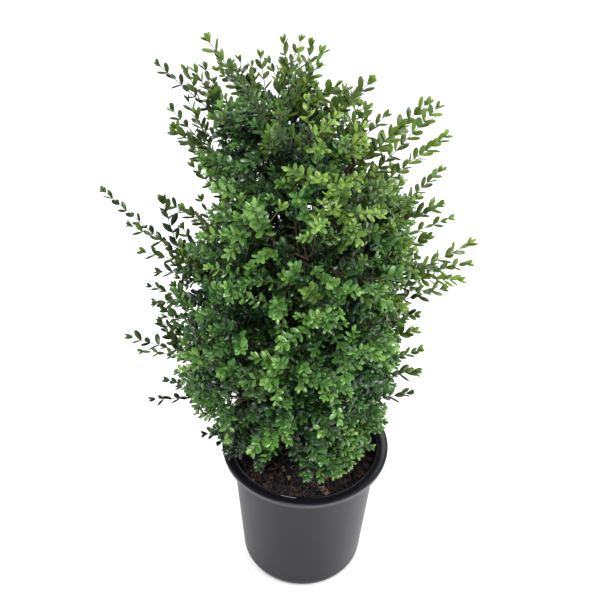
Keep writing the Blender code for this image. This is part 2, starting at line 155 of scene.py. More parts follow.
# %% [markdown]
# Every piece is written as whole arrays: its points, and its faces as point numbers. One
# function turns such arrays into an object, and sharpens the edges past a crease angle.

# %% Arrays into objects
dice = np.random.default_rng(20260)


def unit(vectors):
    """Each vector divided by its length."""
    return vectors / np.maximum(np.linalg.norm(vectors, axis=-1, keepdims=True), 1e-9)


def mesh_piece(name, points, faces, materials, slots=None, crease=None):
    """An object from an array of points and a list of face arrays, each of one number of corners.

    With a crease angle in degrees, faces are smooth except along edges sharper than that.
    """
    mesh = bpy.data.meshes.new(name)
    corners = np.concatenate([group.ravel() for group in faces])
    sizes = np.concatenate([np.full(len(group), group.shape[1]) for group in faces])
    mesh.vertices.add(len(points))
    mesh.vertices.foreach_set("co", points.astype(np.float32).ravel())
    mesh.loops.add(len(corners))
    mesh.loops.foreach_set("vertex_index", corners.astype(np.int32))
    mesh.polygons.add(len(sizes))
    mesh.polygons.foreach_set("loop_start", (np.cumsum(sizes) - sizes).astype(np.int32))
    for material in materials:
        mesh.materials.append(material)
    if slots is not None:
        mesh.polygons.foreach_set("material_index", slots.astype(np.int32))
    mesh.update(calc_edges=True)
    if crease is not None:
        mesh.shade_smooth()
        mesh.set_sharp_from_angle(angle=math.radians(crease))
    piece = bpy.data.objects.new(name, mesh)
    bpy.context.scene.collection.objects.link(piece)
    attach(piece, "root")
    print(f"{name}: {int((sizes - 2).sum())} triangles")
    return piece


print("a vector of length one:", unit(np.array([3.0, 0.0, 4.0])))

# %% [markdown]
# Two shapes recur. Pot and mix are solids turned round one axis, and all that is woody is a
# tapering tube along a line. Each is a grid of points, rings by steps, closed at both ends.

# %% Turned solids and tubes
ROOT_CAP = 0.2


def placed(radius, angle, height):
    """Points at those distances from the pot's axis, angles round it and heights."""
    x, y = radius * np.cos(angle), radius * np.sin(angle)
    return np.stack(np.broadcast_arrays(x, y, height), axis=-1)


def swung(turn, side, top):
    """side * cos(turn) + top * sin(turn), for each turn."""
    return np.cos(turn)[:, None] * side + np.sin(turn)[:, None] * top


def turned(profile, sides):
    """A solid of revolution: ring i is the profile's point i (radius, height) at each of the angles.

    The profile starts and ends on the axis and runs so that the solid is on its left.
    """
    angle = np.arange(sides) * 2 * math.pi / sides
    rings = profile[1:-1, None]
    points = placed(rings[..., 0], angle, rings[..., 1])
    number = np.arange(len(rings) * sides).reshape(len(rings), sides)
    after = np.roll(number, -1, axis=1)
    quads = np.stack([number[:-1], number[1:], after[1:], after[:-1]], axis=-1).reshape(-1, 4)
    first, last = number.size, number.size + 1
    start = np.stack([np.full(sides, first), number[0], after[0]], axis=1)
    end = np.stack([np.full(sides, last), after[-1], number[-1]], axis=1)
    poles = np.array([[0.0, 0.0, profile[0, 1]], [0.0, 0.0, profile[-1, 1]]])
    return np.concatenate([points.reshape(-1, 3), poles]), [quads, start, end]


def tubes(lines, radii, sides):
    """Tapering tubes along N lines of P points each, with a pointed cap at both ends.

    At each point the ring lies across the line: centre + radius * (cos a * side + sin a * top).
    """
    count, steps = radii.shape
    ahead = unit(np.gradient(lines, axis=1))
    whole = unit(lines[:, -1] - lines[:, 0])
    across = np.eye(3)[np.argmin(np.abs(whole), axis=1)]
    side = unit(np.cross(ahead, across[:, None]))
    top = np.cross(ahead, side)
    ring = swung(np.arange(sides) * 2 * math.pi / sides, side[:, :, None], top[:, :, None])
    points = lines[:, :, None] + radii[:, :, None, None] * ring
    number = np.arange(count * steps * sides).reshape(count, steps, sides)
    after = np.roll(number, -1, axis=2)
    quads = np.stack([number[:, :-1], after[:, :-1], after[:, 1:], number[:, 1:]], axis=-1).reshape(-1, 4)
    root = number.size + np.arange(count)
    tip = root + count
    at_root = np.stack([np.repeat(root[:, None], sides, 1), after[:, 0], number[:, 0]], axis=-1)
    at_tip = np.stack([np.repeat(tip[:, None], sides, 1), number[:, -1], after[:, -1]], axis=-1)
    ends = np.concatenate([at_root.reshape(-1, 3), at_tip.reshape(-1, 3)])
    root_poles = lines[:, 0] - ahead[:, 0] * radii[:, :1] * ROOT_CAP
    tip_poles = lines[:, -1] + ahead[:, -1] * radii[:, -1:]
    return np.concatenate([points.reshape(-1, 3), root_poles, tip_poles]), [quads, ends]


print("a ring of four points:", placed(1.0, np.arange(4) * math.pi / 2, 0.0).round(2).tolist())

# %% [markdown]
# The pot is turned like clay on a wheel: one outline, swept round the axis. A nursery pot
# is moulded so too, with a thin wall, a flange and a lip turned down to stiffen the rim.

# %% The pot's outline
RIM_RADIUS = 0.1395
POT_HEIGHT = 0.266
WALL_TOP_RADIUS = 0.1228
BASE_RADIUS = 0.1045
BASE_ROUNDING = 0.024
POT_WALL = 0.0018
LIP_HEIGHT = 0.011
LIP_TUCK = 0.0045
FLANGE_DROP = 0.0045
FLANGE_BEND = 0.0030
NECK_BEND = 0.0028
ROLL_BEND = 0.0012


def wall_radius(height):
    """The pot's outer radius: from the base's to the top's in a straight line with height."""
    return BASE_RADIUS + (WALL_TOP_RADIUS - BASE_RADIUS) * height / POT_HEIGHT


def foot_arc(inset, steps=10):
    """The rounded foot's quarter circle from the wall to the base, moved in by the inset."""
    rounding = BASE_ROUNDING - inset
    middle = wall_radius(BASE_ROUNDING) - BASE_ROUNDING
    angle = 0.5 * math.pi * np.arange(steps + 1) / steps
    return np.stack([middle + rounding * np.cos(angle), BASE_ROUNDING - rounding * np.sin(angle)], axis=1)


def arc(middle, radius, first, last, steps):
    """Points on a circle in the profile's plane, from one angle in degrees to another."""
    angle = np.radians(np.linspace(first, last, steps + 1))
    return np.stack([middle[0] + radius * np.cos(angle), middle[1] + radius * np.sin(angle)], axis=1)


def straight(first, last, steps):
    """Points from the first to the last along a straight line, without the ends."""
    share = np.arange(1, steps)[:, None] / steps
    return np.asarray(first) * (1 - share) + np.asarray(last) * share


def near_rim(inward, down):
    """The outline's point that far inward from the rim's edge and down from the pot's top."""
    return RIM_RADIUS - inward, POT_HEIGHT - down


def pot_profile():
    """Up the inside, over the flange, down the lip, back under it, and down the outside."""
    under = POT_HEIGHT - FLANGE_DROP - POT_WALL
    neck = under - 0.0030
    inner = np.array([wall_radius(under) - POT_WALL, under])
    foot = foot_arc(POT_WALL)[::-1]
    runs = (
        [(0.0, POT_WALL)],
        foot,
        straight(foot[-1], inner, 8),
        arc(inner + (FLANGE_BEND, 0.0), FLANGE_BEND, 180, 120, 4),
        straight(inner + (0.0018, 0.0034), near_rim(0.0075, 0.0004), 3),
        [near_rim(0.0045, 0.0005), near_rim(0.0018, 0.0016)],
        arc(near_rim(ROLL_BEND, 0.0032), ROLL_BEND, 70, 0, 5),
        [near_rim(0.0008, LIP_HEIGHT - 0.0006), near_rim(0.0014, LIP_HEIGHT)],
        [near_rim(0.0024, LIP_HEIGHT), near_rim(0.0028, LIP_HEIGHT - 0.0008)],
        [near_rim(LIP_TUCK, 0.0056)],
        arc((wall_radius(under) + NECK_BEND, neck), NECK_BEND, 90, 180, 5),
        straight((wall_radius(under), neck), foot_arc(0.0)[0], 12),
        foot_arc(0.0, 14),
        [(0.0, 0.0)],
    )
    return np.concatenate([np.asarray(run, float) for run in runs])[::-1]


print("points in the pot's outline:", len(pot_profile()))

# %% [markdown]
# Plastic, bark and potting mix are never of one even tone. Their colours come from noise
# read at the object's own coordinates, and the noise raises a fine relief as well.

# %% Shader helpers
def node(tree, kind, **settings):
    """A shader node with some of its inputs or properties set by name."""
    made = tree.nodes.new(kind)
    for name, value in settings.items():
        if name in made.inputs:
            made.inputs[name].default_value = value
        else:
            setattr(made, name, value)
    return made


def ramp(tree, source, stops):
    """A colour ramp fed by the source, with (place, colour) stops."""
    made = tree.nodes.new("ShaderNodeValToRGB")
    tree.links.new(source, made.inputs["Fac"])
    for _ in range(len(stops) - 2):
        made.color_ramp.elements.new(0.5)
    for element, (place, colour) in zip(made.color_ramp.elements, stops):
        element.position = place
        element.color = (*colour, 1.0)
    return made.outputs["Color"]


def stretched(tree, place, scale):
    """The place with each axis times its own scale."""
    mapping = node(tree, "ShaderNodeMapping", Scale=scale)
    tree.links.new(place, mapping.inputs["Vector"])
    return mapping.outputs["Vector"]


def noise(tree, place, scale, detail, roughness=0.5):
    """Noise read at the place, of that scale, detail and roughness."""
    cloud = node(tree, "ShaderNodeTexNoise", Scale=scale, Detail=detail, Roughness=roughness)
    tree.links.new(place, cloud.inputs["Vector"])
    return cloud.outputs["Fac"]


def relief(tree, height, strength, distance):
    """Raise the surface with the height, by at most the distance in metres."""
    bump = node(tree, "ShaderNodeBump", Strength=strength, Distance=distance)
    tree.links.new(height, bump.inputs["Height"])
    tree.links.new(bump.outputs["Normal"], tree.nodes["Principled BSDF"].inputs["Normal"])


print("shader helpers are ready")

# %% [markdown]
# Satin black plastic looks grey on the wall because it mirrors the pale floor, so its own
# tone is nearly black, and towards the foot it is darker still, which is painted shade.
# Over the rim it is more polished.

# %% Pot plastic
STREAK_SCALE = (34.0, 34.0, 3.0)
STREAK_TONES = ((0.25, grey(0.90)), (0.75, grey(1.08)))
POLISH = ((0.950, grey(0.40)), (0.965, grey(0.24)))
# Tone by height: darker towards the foot, which is painted shade, and near black over the rim.
CHARCOAL_PAINTED_SHADE = (
    (0.0, (0.003, 0.003, 0.006)),
    (0.15, (0.008, 0.007, 0.012)),
    (0.5, (0.011, 0.010, 0.015)),
    (0.945, (0.020, 0.019, 0.023)),
    (0.960, (0.010, 0.010, 0.014)),
)


def even(colour):
    """Stops for one tone at every height."""
    return ((0.0, colour), (1.0, colour))


def pot_plastic(name, tones, specular):
    """Moulded plastic: its tone by height, with faint mould streaks and fine grain."""
    material = plain_material(name, grey(0.05), 0.36, specular)
    tree = material.node_tree
    shader = tree.nodes["Principled BSDF"]
    place = node(tree, "ShaderNodeTexCoord").outputs["Object"]
    height = node(tree, "ShaderNodeSeparateXYZ")
    tree.links.new(place, height.inputs[0])
    share = node(tree, "ShaderNodeMapRange", **{"From Max": POT_HEIGHT})
    tree.links.new(height.outputs["Z"], share.inputs["Value"])
    tree.links.new(ramp(tree, share.outputs["Result"], POLISH), shader.inputs["Roughness"])
    streaks = noise(tree, stretched(tree, place, STREAK_SCALE), 1.0, 4.0, 0.6)
    mix = node(tree, "ShaderNodeMix", data_type="RGBA", blend_type="MULTIPLY", Factor=1.0)
    tree.links.new(ramp(tree, share.outputs["Result"], tones), mix.inputs["A"])
    tree.links.new(ramp(tree, streaks, STREAK_TONES), mix.inputs["B"])
    tree.links.new(mix.outputs["Result"], shader.inputs["Base Color"])
    relief(tree, noise(tree, place, 900.0, 2.0), 0.12, 0.0003)
    return material


plastics = [
    pot_plastic("pot_charcoal", CHARCOAL_PAINTED_SHADE, 0.33),
    # The lip's paler grey is a painted highlight along its outer face.
    pot_plastic("lip_painted_highlight", even((0.056, 0.055, 0.061)), 0.34),
]
print("plastics:", [material.name for material in plastics])

# %% [markdown]
# The wall and the lip's outer face take one plastic each, and the lip's paler grey is a painted
# highlight along its outer face. On the front of the rim a thin raised line, coloured pale
# grey, is a tube of its own along the rim.

# %% Pot
POT_SIDES = 144
SEAM_RADIUS = 0.1262
SEAM_POINTS = 12


def from_axis(points):
    """How far each point lies from the pot's axis."""
    return np.hypot(points[..., 0], points[..., 1])


pot_points, pot_faces = turned(pot_profile(), POT_SIDES)
centre = pot_points[pot_faces[0]].mean(axis=1)
# The lip's outer faces, which take the painted highlight.
lip_highlight_faces = (from_axis(centre) > RIM_RADIUS - 0.0012) & (centre[:, 2] < POT_HEIGHT - 0.0042)
lip_highlight_slots = np.concatenate([lip_highlight_faces, np.zeros(2 * POT_SIDES, bool)])
pot = mesh_piece("pot_shell", pot_points, pot_faces, plastics, lip_highlight_slots, crease=38)
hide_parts("pot")

along_seam = np.radians(np.linspace(-106.0, -95.0, SEAM_POINTS))
seam_line = placed(SEAM_RADIUS, along_seam, POT_HEIGHT - 0.0022)
seam_points, seam_faces = tubes(seam_line[None], np.full((1, SEAM_POINTS), 0.00075), 8)
# A thin raised line along the front of the rim, coloured pale grey.
seam_grey = pot_plastic("seam_grey", even((0.20, 0.20, 0.21)), 0.34)
seam = mesh_piece("rim_seam", seam_points, seam_faces, [seam_grey], crease=60)

# %% [markdown]
# Potting mix is ground bark. Its body is a plug that fills the pot, turned like the pot,
# with its top roughened by a sum of waves. Its brown follows noise, dark in the hollows.

# %% The plug of potting mix
SOIL_EDGE = POT_HEIGHT - 0.027
GROUND = SOIL_EDGE + 0.008
SOIL_GAP = 0.0003
SOIL_RADIUS = wall_radius(SOIL_EDGE) - POT_WALL - 2 * SOIL_GAP
SOIL_SIDES = 160
SOIL_RINGS = 60
SOIL_ROUGHNESS = 0.0045


def waves(points, seed, count=14, finest=0.004, coarsest=0.03):
    """A rough field: the mean of sine waves in random directions, from coarse to fine."""
    rule = np.random.default_rng(seed)
    length = np.geomspace(coarsest, finest, count)
    way = unit(rule.normal(size=(count, 3))) * (2 * math.pi / length)[:, None]
    height = length / length.max()
    return (np.sin(points @ way.T + rule.uniform(0, 6.3, count)) * height).sum(axis=-1) / height.sum()


def soil_height(radius):
    """The soil's even surface: flat under the trunk, then falling to the pot's wall."""
    places = [0.0, 0.034, 0.062, 0.092, SOIL_RADIUS]
    return np.interp(radius, places, [GROUND, GROUND, GROUND - 0.0012, GROUND - 0.0044, SOIL_EDGE])


def rough_brown(name, dark, light, specular, cloud, spread, bump, stretch=None):
    """A brown from dark to light over a spread of noise, which raises the surface too."""
    material = plain_material(name, light, 0.85, specular)
    tree = material.node_tree
    place = node(tree, "ShaderNodeTexCoord").outputs["Object"]
    field = noise(tree, stretched(tree, place, stretch) if stretch else place, *cloud)
    tone = ramp(tree, field, list(zip(spread, (dark, light))))
    tree.links.new(tone, tree.nodes["Principled BSDF"].inputs["Base Color"])
    relief(tree, field, *bump)
    return material


def bark_mix(name, dark, light, scale):
    """Crumbly brown, for the mix and its chips."""
    return rough_brown(name, dark, light, 0.25, (scale, 6.0, 0.65), (0.35, 0.68), (0.7, 0.0012))


def soil_profile():
    """Down the pot's wall inside, along its floor, and over the top, with the solid on the left."""
    radius = np.linspace(SOIL_RADIUS, 0.0, SOIL_RINGS)
    top = np.stack([radius, soil_height(radius)], axis=1)
    foot = foot_arc(POT_WALL + SOIL_GAP)[::-1] - (SOIL_GAP, 0.0)
    return np.concatenate([[[0.0, POT_WALL + SOIL_GAP]], foot, top])


soil_points, soil_faces = turned(soil_profile(), SOIL_SIDES)
on_top = (soil_points[:, 2] > SOIL_EDGE - 0.001) & (from_axis(soil_points) < SOIL_RADIUS - 0.001)
rough = waves(soil_points * (1, 1, 0), seed=5)
soil_points[:, 2] += np.where(on_top, SOIL_ROUGHNESS * rough, 0.0)
mix_dark = bark_mix("mix_dark", (0.006, 0.005, 0.005), (0.033, 0.026, 0.025), 260.0)
soil = mesh_piece("potting_mix", soil_points, soil_faces, [mix_dark], crease=50)
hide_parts("soil")

# %% [markdown]
# Over the plug lie loose bark chips. Each is the same small block, stretched, turned and
# jittered, so thousands are one array. Most are dark, and a few are red or tan.

# %% Bark chips
BLOCK = np.array([[x, y, z] for x in (-0.5, 0.5) for y in (-0.5, 0.5) for z in (-0.5, 0.5)])
BLOCK_FACES = np.array([[0, 1, 3, 2], [4, 6, 7, 5], [0, 4, 5, 1], [2, 3, 7, 6], [0, 2, 6, 4], [1, 5, 7, 3]])
CHIP_LENGTH = 0.0098
CHIP_KINDS = (
    ("chips_dark", 1500, (0.008, 0.007, 0.008), (0.048, 0.041, 0.043)),
    ("chips_brown", 650, (0.018, 0.014, 0.014), (0.098, 0.074, 0.069)),
    ("chips_red", 210, (0.036, 0.019, 0.015), (0.150, 0.085, 0.068)),
    ("chips_tan", 90, (0.090, 0.062, 0.050), (0.290, 0.220, 0.180)),
)


def turns(ways, ups):
    """For each pair, the three axes of a piece that lies along the way with its top towards up."""
    ways = unit(ways)
    side = unit(np.cross(ups, ways))
    return np.stack([ways, side, np.cross(ways, side)], axis=1)


def strewn(rule, count, reach):
    """Distances from the axis, evenly over the circle out to the reach, and angles round it."""
    return reach * np.sqrt(rule.uniform(0, 1, count)), rule.uniform(0, 2 * math.pi, count)


def chips(count, seed):
    """Bark chips strewn over the soil: blocks of eight jittered corners, laid askew."""
    rule = np.random.default_rng(seed)
    long = np.exp(rule.normal(math.log(CHIP_LENGTH), 0.42, count)).clip(0.005, 0.024)
    wide = long * rule.uniform(0.26, 0.5, count)
    size = np.stack([long, wide, rule.uniform(0.0012, 0.0030, count)], axis=1)
    corners = BLOCK * size[:, None] * rule.uniform(0.72, 1.12, (count, 8, 1))
    ways = placed(1.0, rule.uniform(0, 2 * math.pi, count), rule.normal(0, 0.22, count))
    axes = turns(ways, unit(rule.normal(0, 0.42, (count, 3)) + (0, 0, 1)))
    radius, around = strewn(rule, count, SOIL_RADIUS - 0.007)
    middle = placed(radius, around, soil_height(radius) + rule.uniform(0.0004, 0.0036, count))
    points = middle[:, None] + np.einsum("nkc,ncd->nkd", corners, axes)
    faces = BLOCK_FACES + len(BLOCK) * np.arange(count)[:, None, None]
    return points.reshape(-1, 3), [faces.reshape(-1, 4)]


for name, count, dark, light in CHIP_KINDS:
    chip_piece = mesh_piece(name, *chips(count, seed=count), [bark_mix(name, dark, light, 420.0)])

# %% [markdown]
# Bark frays into pale fibres, which lie curled on the chips. Each is a thread whose heading
# turns steadily along it, and all are tubes of four sides.

# %% Fibres
FIBRE_POINTS = 6
FIBRE_RADIUS = 0.00032


def fibres(count, seed):
    """Thin curved lines lying on the mix: each step goes on from the last along the heading."""
    rule = np.random.default_rng(seed)
    long = rule.uniform(0.010, 0.034, count)
    radius, around = strewn(rule, count, SOIL_RADIUS - 0.020)
    heading = rule.uniform(0, 2 * math.pi, count)[:, None]
    heading = heading + rule.normal(0, 1.1, count)[:, None] * np.linspace(-0.5, 0.5, FIBRE_POINTS)
    step = long[:, None] / (FIBRE_POINTS - 1)
    east = np.cumsum(step * np.cos(heading), axis=1) + (radius * np.cos(around))[:, None]
    north = np.cumsum(step * np.sin(heading), axis=1) + (radius * np.sin(around))[:, None]
    arch = rule.uniform(0.0, 0.005, count)[:, None] * np.sin(np.linspace(0, math.pi, FIBRE_POINTS))
    return np.stack([east, north, soil_height(np.hypot(east, north)) + 0.0022 + arch], axis=2)


fibre_lines = fibres(90, 8)
fibre_lines = fibre_lines[from_axis(fibre_lines).max(axis=1) < SOIL_RADIUS - 0.004]
fibre_points, fibre_faces = tubes(fibre_lines, np.full(fibre_lines.shape[:2], FIBRE_RADIUS), 4)
fibre_tan = bark_mix("fibre_tan", (0.12, 0.07, 0.04), (0.36, 0.25, 0.17), 300.0)
fibre_piece = mesh_piece("fibres", fibre_points, fibre_faces, [fibre_tan], crease=70)

# %% [markdown]
# The crown is 24 masses of foliage in five tiers. Its outline leans a little to the left:
# at each height it has a radius and a middle. Each mass has its own middle, a place where
# its limb enters it, and a way that its twigs lean, all worked out from its tier.

# %% The masses of the crown
CROWN_HEIGHTS = (0.255, 0.285, 0.320, 0.380, 0.480, 0.560, 0.620, 0.700, 0.800, 0.860, 0.905, 0.935, 0.952)
CROWN_RADII = (0.050, 0.112, 0.154, 0.184, 0.208, 0.214, 0.212, 0.192, 0.180, 0.166, 0.132, 0.088, 0.020)
CROWN_MIDDLES = (
    -0.020, -0.024, -0.028, -0.034, -0.037, -0.033, -0.020, -0.006, -0.004, -0.018, -0.030, -0.040, -0.044,
)
ENTRY_RING = 0.0515
TOP_ENTRY_RING = 0.036
# Name, masses, first azimuth, height, ring, height of entry, and the share of its stem
# at which a bough leaves. The stems themselves end in the upper masses.
TIERS = (
    ("skirt", 5, -54.0, 0.348, 0.092, 0.322, 0.09),
    ("low", 5, -18.0, 0.455, 0.122, 0.428, 0.30),
    ("middle", 5, -54.0, 0.580, 0.124, 0.552, 0.58),
    ("upper", 5, -18.0, 0.700, 0.106, 0.660, None),
    ("top", 4, 0.0, 0.828, 0.074, 0.752, 0.70),
)


def on_ring(azimuth, ring, height):
    """The point at that azimuth in degrees, distance from the pot's axis, and height."""
    angle = math.radians(azimuth)
    return Vector((ring * math.cos(angle), ring * math.sin(angle), height))


def crown_radius(height):
    """The crown's radius at each height, and 0 above and below it."""
    return np.interp(height, CROWN_HEIGHTS, CROWN_RADII, left=0.0, right=0.0)


def crown_middle(height):
    """How far to the right the crown's middle lies at each height: less than 0, so to the left."""
    return np.interp(height, CROWN_HEIGHTS, CROWN_MIDDLES)


def plan_mass(tier, index, count, first, height, ring, entry_height):
    """A mass's node name, its middle, the point where its limb enters it, and its way outwards."""
    azimuth = first + 360.0 / count * index
    shift = Vector((float(crown_middle(height)), 0.0, 0.0))
    top = tier == "top"
    return {
        "node": f"foliage_{tier}_{index + 1}",
        "tier": tier,
        "azimuth": azimuth,
        "middle": on_ring(azimuth, ring, height) + shift,
        "entry": on_ring(azimuth, TOP_ENTRY_RING if top else ENTRY_RING, entry_height),
        "outward": (on_ring(azimuth, 0.75, 1.0) if top else on_ring(azimuth, 1.0, 0.25)).normalized(),
    }


MASSES = [plan_mass(tier[0], index, *tier[1:6]) for tier in TIERS for index in range(tier[1])]
print("masses planned:", len(MASSES))

# %% [markdown]
# The woody frame follows the same rule as the solids: five stems rise from a short trunk,
# and a bough leads from a stem to each mass. The same seeds give the same bends, so that
# each limb lies where its solid does.

# %% The lines of stems and boughs
TRUNK_HEIGHT = 0.038
TRUNK_LEAN = Vector((-0.004, 0.002, 0.0))
STEM_COUNT = 5
FIRST_STEM = -54.0
STEM_RING = 0.0112
STEM_SINK = 0.006
STEM_BEND_RING = 0.044
STEM_BEND_HEIGHT = 0.44
TOP_BEND_RING = 0.021
TOP_BEND_HEIGHT = 0.665
TOP_STEMS = (0, 1, 3, 4)
LIMB_WANDER = 0.0022
LIMB_END = 0.012
STEM_SEED = 100
BOUGH_SEED = 200


def limb_path(start, bend, end, seed, steps):
    """(1-t)^2 start + 2t(1-t) bend + t^2 end, with a small wander that is most in the middle."""
    rule = random.Random(seed)
    points = []
    for step in range(steps + 1):
        t = step / steps
        point = start * (1 - t) ** 2 + bend * 2 * t * (1 - t) + end * t * t
        wander = LIMB_WANDER * 4 * t * (1 - t)
        points.append(point + Vector([rule.uniform(-wander, wander) for _ in range(3)]))
    return points


def stem_line(index, mass):
    """A main stem from the trunk's top to the upper mass that its tip enters."""
    azimuth = FIRST_STEM + 360.0 / STEM_COUNT * index
    start = on_ring(azimuth, STEM_RING, GROUND + SOIL_GAP + TRUNK_HEIGHT - STEM_SINK) + TRUNK_LEAN
    bend = on_ring(azimuth, STEM_BEND_RING, STEM_BEND_HEIGHT)
    into = (mass["middle"] - mass["entry"]).normalized()
    last = mass["entry"] - into * LIMB_END
    return limb_path(start, bend, last, STEM_SEED + index, 8) + [mass["entry"]]


def bough_line(start, mass, seed):
    """A bough from a point on its stem to the entry of its mass."""
    into = (mass["middle"] - mass["entry"]).normalized()
    last = mass["entry"] - into * LIMB_END
    bend = last - into * 0.45 * (last - start).length
    if mass["tier"] == "top":
        bend = on_ring(mass["azimuth"], TOP_BEND_RING, TOP_BEND_HEIGHT)
    return limb_path(start, bend, last, seed, 3) + [mass["entry"]]


upper = [mass for mass in MASSES if mass["tier"] == "upper"]
stem_lines = [stem_line(index, mass) for index, mass in enumerate(upper)]
bough_lines = []
for tier, count, *_, share in TIERS:
    if share is None:
        continue
    carriers = TOP_STEMS if tier == "top" else range(count)
    tier_masses = [mass for mass in MASSES if mass["tier"] == tier]
    for index, (mass, carrier) in enumerate(zip(tier_masses, carriers)):
        line = stem_lines[carrier]
        place = share * (len(line) - 1)
        start = line[int(place)].lerp(line[int(place) + 1], place - int(place))
        bough_lines.append(bough_line(start, mass, BOUGH_SEED + 10 * carrier + index))
print("stems:", len(stem_lines), "boughs:", len(bough_lines))

# %% [markdown]
# Boxwood bark is grey-brown and cracks along the limb. A tube's radius swells and shrinks
# with a field of waves that is stretched along it, which gives real ridges, and noise
# stretched the same way gives the cracks. The trunk adds a flared foot with five low ribs.

# %% Trunk, stems and boughs
CRACK_SCALE = (520.0, 520.0, 90.0)
STEM_RADII = (0.0050, 0.0030)
BOUGH_RADII = (0.0034, 0.0026)
TRUNK_RINGS = 30
TRUNK_SIDES = 40
FLARE_HEIGHT = 0.016


def smoothed(points, count):
    """The line resampled evenly to more points, and rounded at its corners."""
    line = np.array(points)
    share = np.concatenate([[0.0], np.cumsum(np.linalg.norm(np.diff(line, axis=0), axis=1))])
    even_share = np.linspace(0, share[-1], count)
    line = np.stack([np.interp(even_share, share, line[:, axis]) for axis in range(3)], axis=1)
    for _ in range(2):
        line[1:-1] = 0.25 * line[:-2] + 0.5 * line[1:-1] + 0.25 * line[2:]
    return line


def bark(name, dark, light):
    """Grey-brown bark with long cracks."""
    spread, bump = (0.36, 0.62), (0.8, 0.0008)
    return rough_brown(name, dark, light, 0.3, (1.0, 5.0, 0.6), spread, bump, CRACK_SCALE)


def barked(lines, ends, sides, steps, seed):
    """Tubes with ridged bark: the radius tapers along the line and swells with a rough field."""
    smooth = np.stack([smoothed(line, steps) for line in lines])
    radii = np.linspace(*ends, steps)[None].repeat(len(lines), axis=0)
    points, faces = tubes(smooth, radii, sides)
    rings = points[: radii.size * sides].reshape(len(lines), steps, sides, 3)
    ridges = waves(rings * (1.0, 1.0, 0.25), seed, finest=0.002, coarsest=0.012)
    rings += (rings - smooth[:, :, None]) * (0.35 * ridges)[..., None]
    return points, faces


def trunk_surface():
    """A flared foot with five low ribs, ridged bark, and a top drawn in between the stems."""
    height = np.linspace(0.0, TRUNK_HEIGHT, TRUNK_RINGS)
    places = [0, 0.006, FLARE_HEIGHT, TRUNK_HEIGHT - 0.004, TRUNK_HEIGHT]
    radius = np.interp(height, places, [0.027, 0.0205, 0.0165, 0.0175, 0.0150])
    line = np.array([Vector((0, 0, GROUND + h)) + TRUNK_LEAN * (h / TRUNK_HEIGHT) ** 2 for h in height])
    points, faces = tubes(line[None], radius[None], TRUNK_SIDES)
    rings = points[: TRUNK_RINGS * TRUNK_SIDES].reshape(TRUNK_RINGS, TRUNK_SIDES, 3)
    out = rings - line[:, None]
    angle = np.arctan2(out[..., 1], out[..., 0])
    ribs = 0.10 * np.clip(1 - height / FLARE_HEIGHT, 0, 1)[:, None] * np.cos(STEM_COUNT * angle)
    ridges = waves(rings * (1, 1, 0.25), 6, finest=0.003, coarsest=0.016)
    rings += out * (ribs + 0.22 * ridges)[..., None]
    rings[0, :, 2] = GROUND
    return points, faces


wood = bark("bark", (0.028, 0.022, 0.018), (0.115, 0.095, 0.074))
stems = mesh_piece("stems_bark", *barked(stem_lines, STEM_RADII, 14, 60, 3), [wood], crease=60)
boughs = mesh_piece("boughs_bark", *barked(bough_lines, BOUGH_RADII, 10, 24, 4), [wood], crease=60)
trunk = mesh_piece("trunk_bark", *trunk_surface(), [wood], crease=60)
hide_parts("trunk")
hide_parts(*[f"stem_{index + 1}" for index in range(STEM_COUNT)])
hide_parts(*[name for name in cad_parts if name.startswith("bough")])

# %% [markdown]
# The crown keeps the outline of the solids. A point is inside it where its distance from
# the crown's middle is less than the radius at its height. The photo shows the plant's
# real edge more closely, so a point must also lie inside that edge as the camera sees it.

# %% The crown's edge and hollows
CROWN_WIDER = 1.04
CROWN_SHALLOWER = 0.94
PICTURE_HALF = 300.0
FOCAL_PIXELS = 2 * PICTURE_HALF * LENS / SENSOR_WIDTH
PIXELS_PER_METRE = 700.0
# The edge's distance in pixels from a middle in the picture, every ten degrees from the
# right and round over the top. The middle lies 50 pixels above the picture's own.
EDGE_MIDDLE = (0.0, 50.0)
PICTURE_EDGE = np.array(
    [112, 106, 120, 120, 122, 98, 116, 166, 136, 188, 150, 174, 172, 160, 110, 94, 86, 98]
    + [108, 126, 134, 146, 150, 178, 188, 210, 220, 230, 226, 206, 166, 144, 126, 110, 132, 128],
    float,
)
# Column, row, half width and half height in pixels, and how far back the hollow reaches.
HOLLOWS = (
    (283, 228, 18, 17, -0.050),
    (305, 256, 8, 19, -0.060),
    (206, 300, 9, 11, -0.090),
    (239, 318, 8, 9, -0.110),
    (258, 332, 8, 8, -0.110),
    (281, 468, 14, 22, 0.050),
    (262, 484, 20, 9, 0.050),
    (237, 399, 10, 8, 0.300),
)


def in_picture(points):
    """Where the camera sees each point: pixels to the right of and above the picture's middle."""
    seen = (points - np.array(CAMERA_PLACE)) @ np.array(camera.matrix_world.to_3x3())
    return FOCAL_PIXELS * seen[..., :2] / -seen[..., 2:]


def inside_edge(points, inset=0.0):
    """Which points lie inside the plant's edge in the photo, drawn in by the inset in metres."""
    away = in_picture(points) - EDGE_MIDDLE
    angle = np.degrees(np.arctan2(away[..., 1], away[..., 0])) % 360.0
    edge = np.interp(angle, np.arange(37) * 10.0, np.append(PICTURE_EDGE, PICTURE_EDGE[0]))
    return np.hypot(away[..., 0], away[..., 1]) <= edge - PIXELS_PER_METRE * inset


def inside_crown(points, inset=0.0):
    """Which points lie in the crown, once its outline is drawn in by the inset."""
    height = points[..., 2]
    rightward = (points[..., 0] - crown_middle(height)) / CROWN_WIDER
    across = np.hypot(rightward, points[..., 1] / CROWN_SHALLOWER)
    radius = np.minimum(crown_radius(height + inset), crown_radius(height - 0.7 * inset))
    held = across <= np.minimum(radius, crown_radius(height)) - inset
    return held & inside_edge(points, inset)


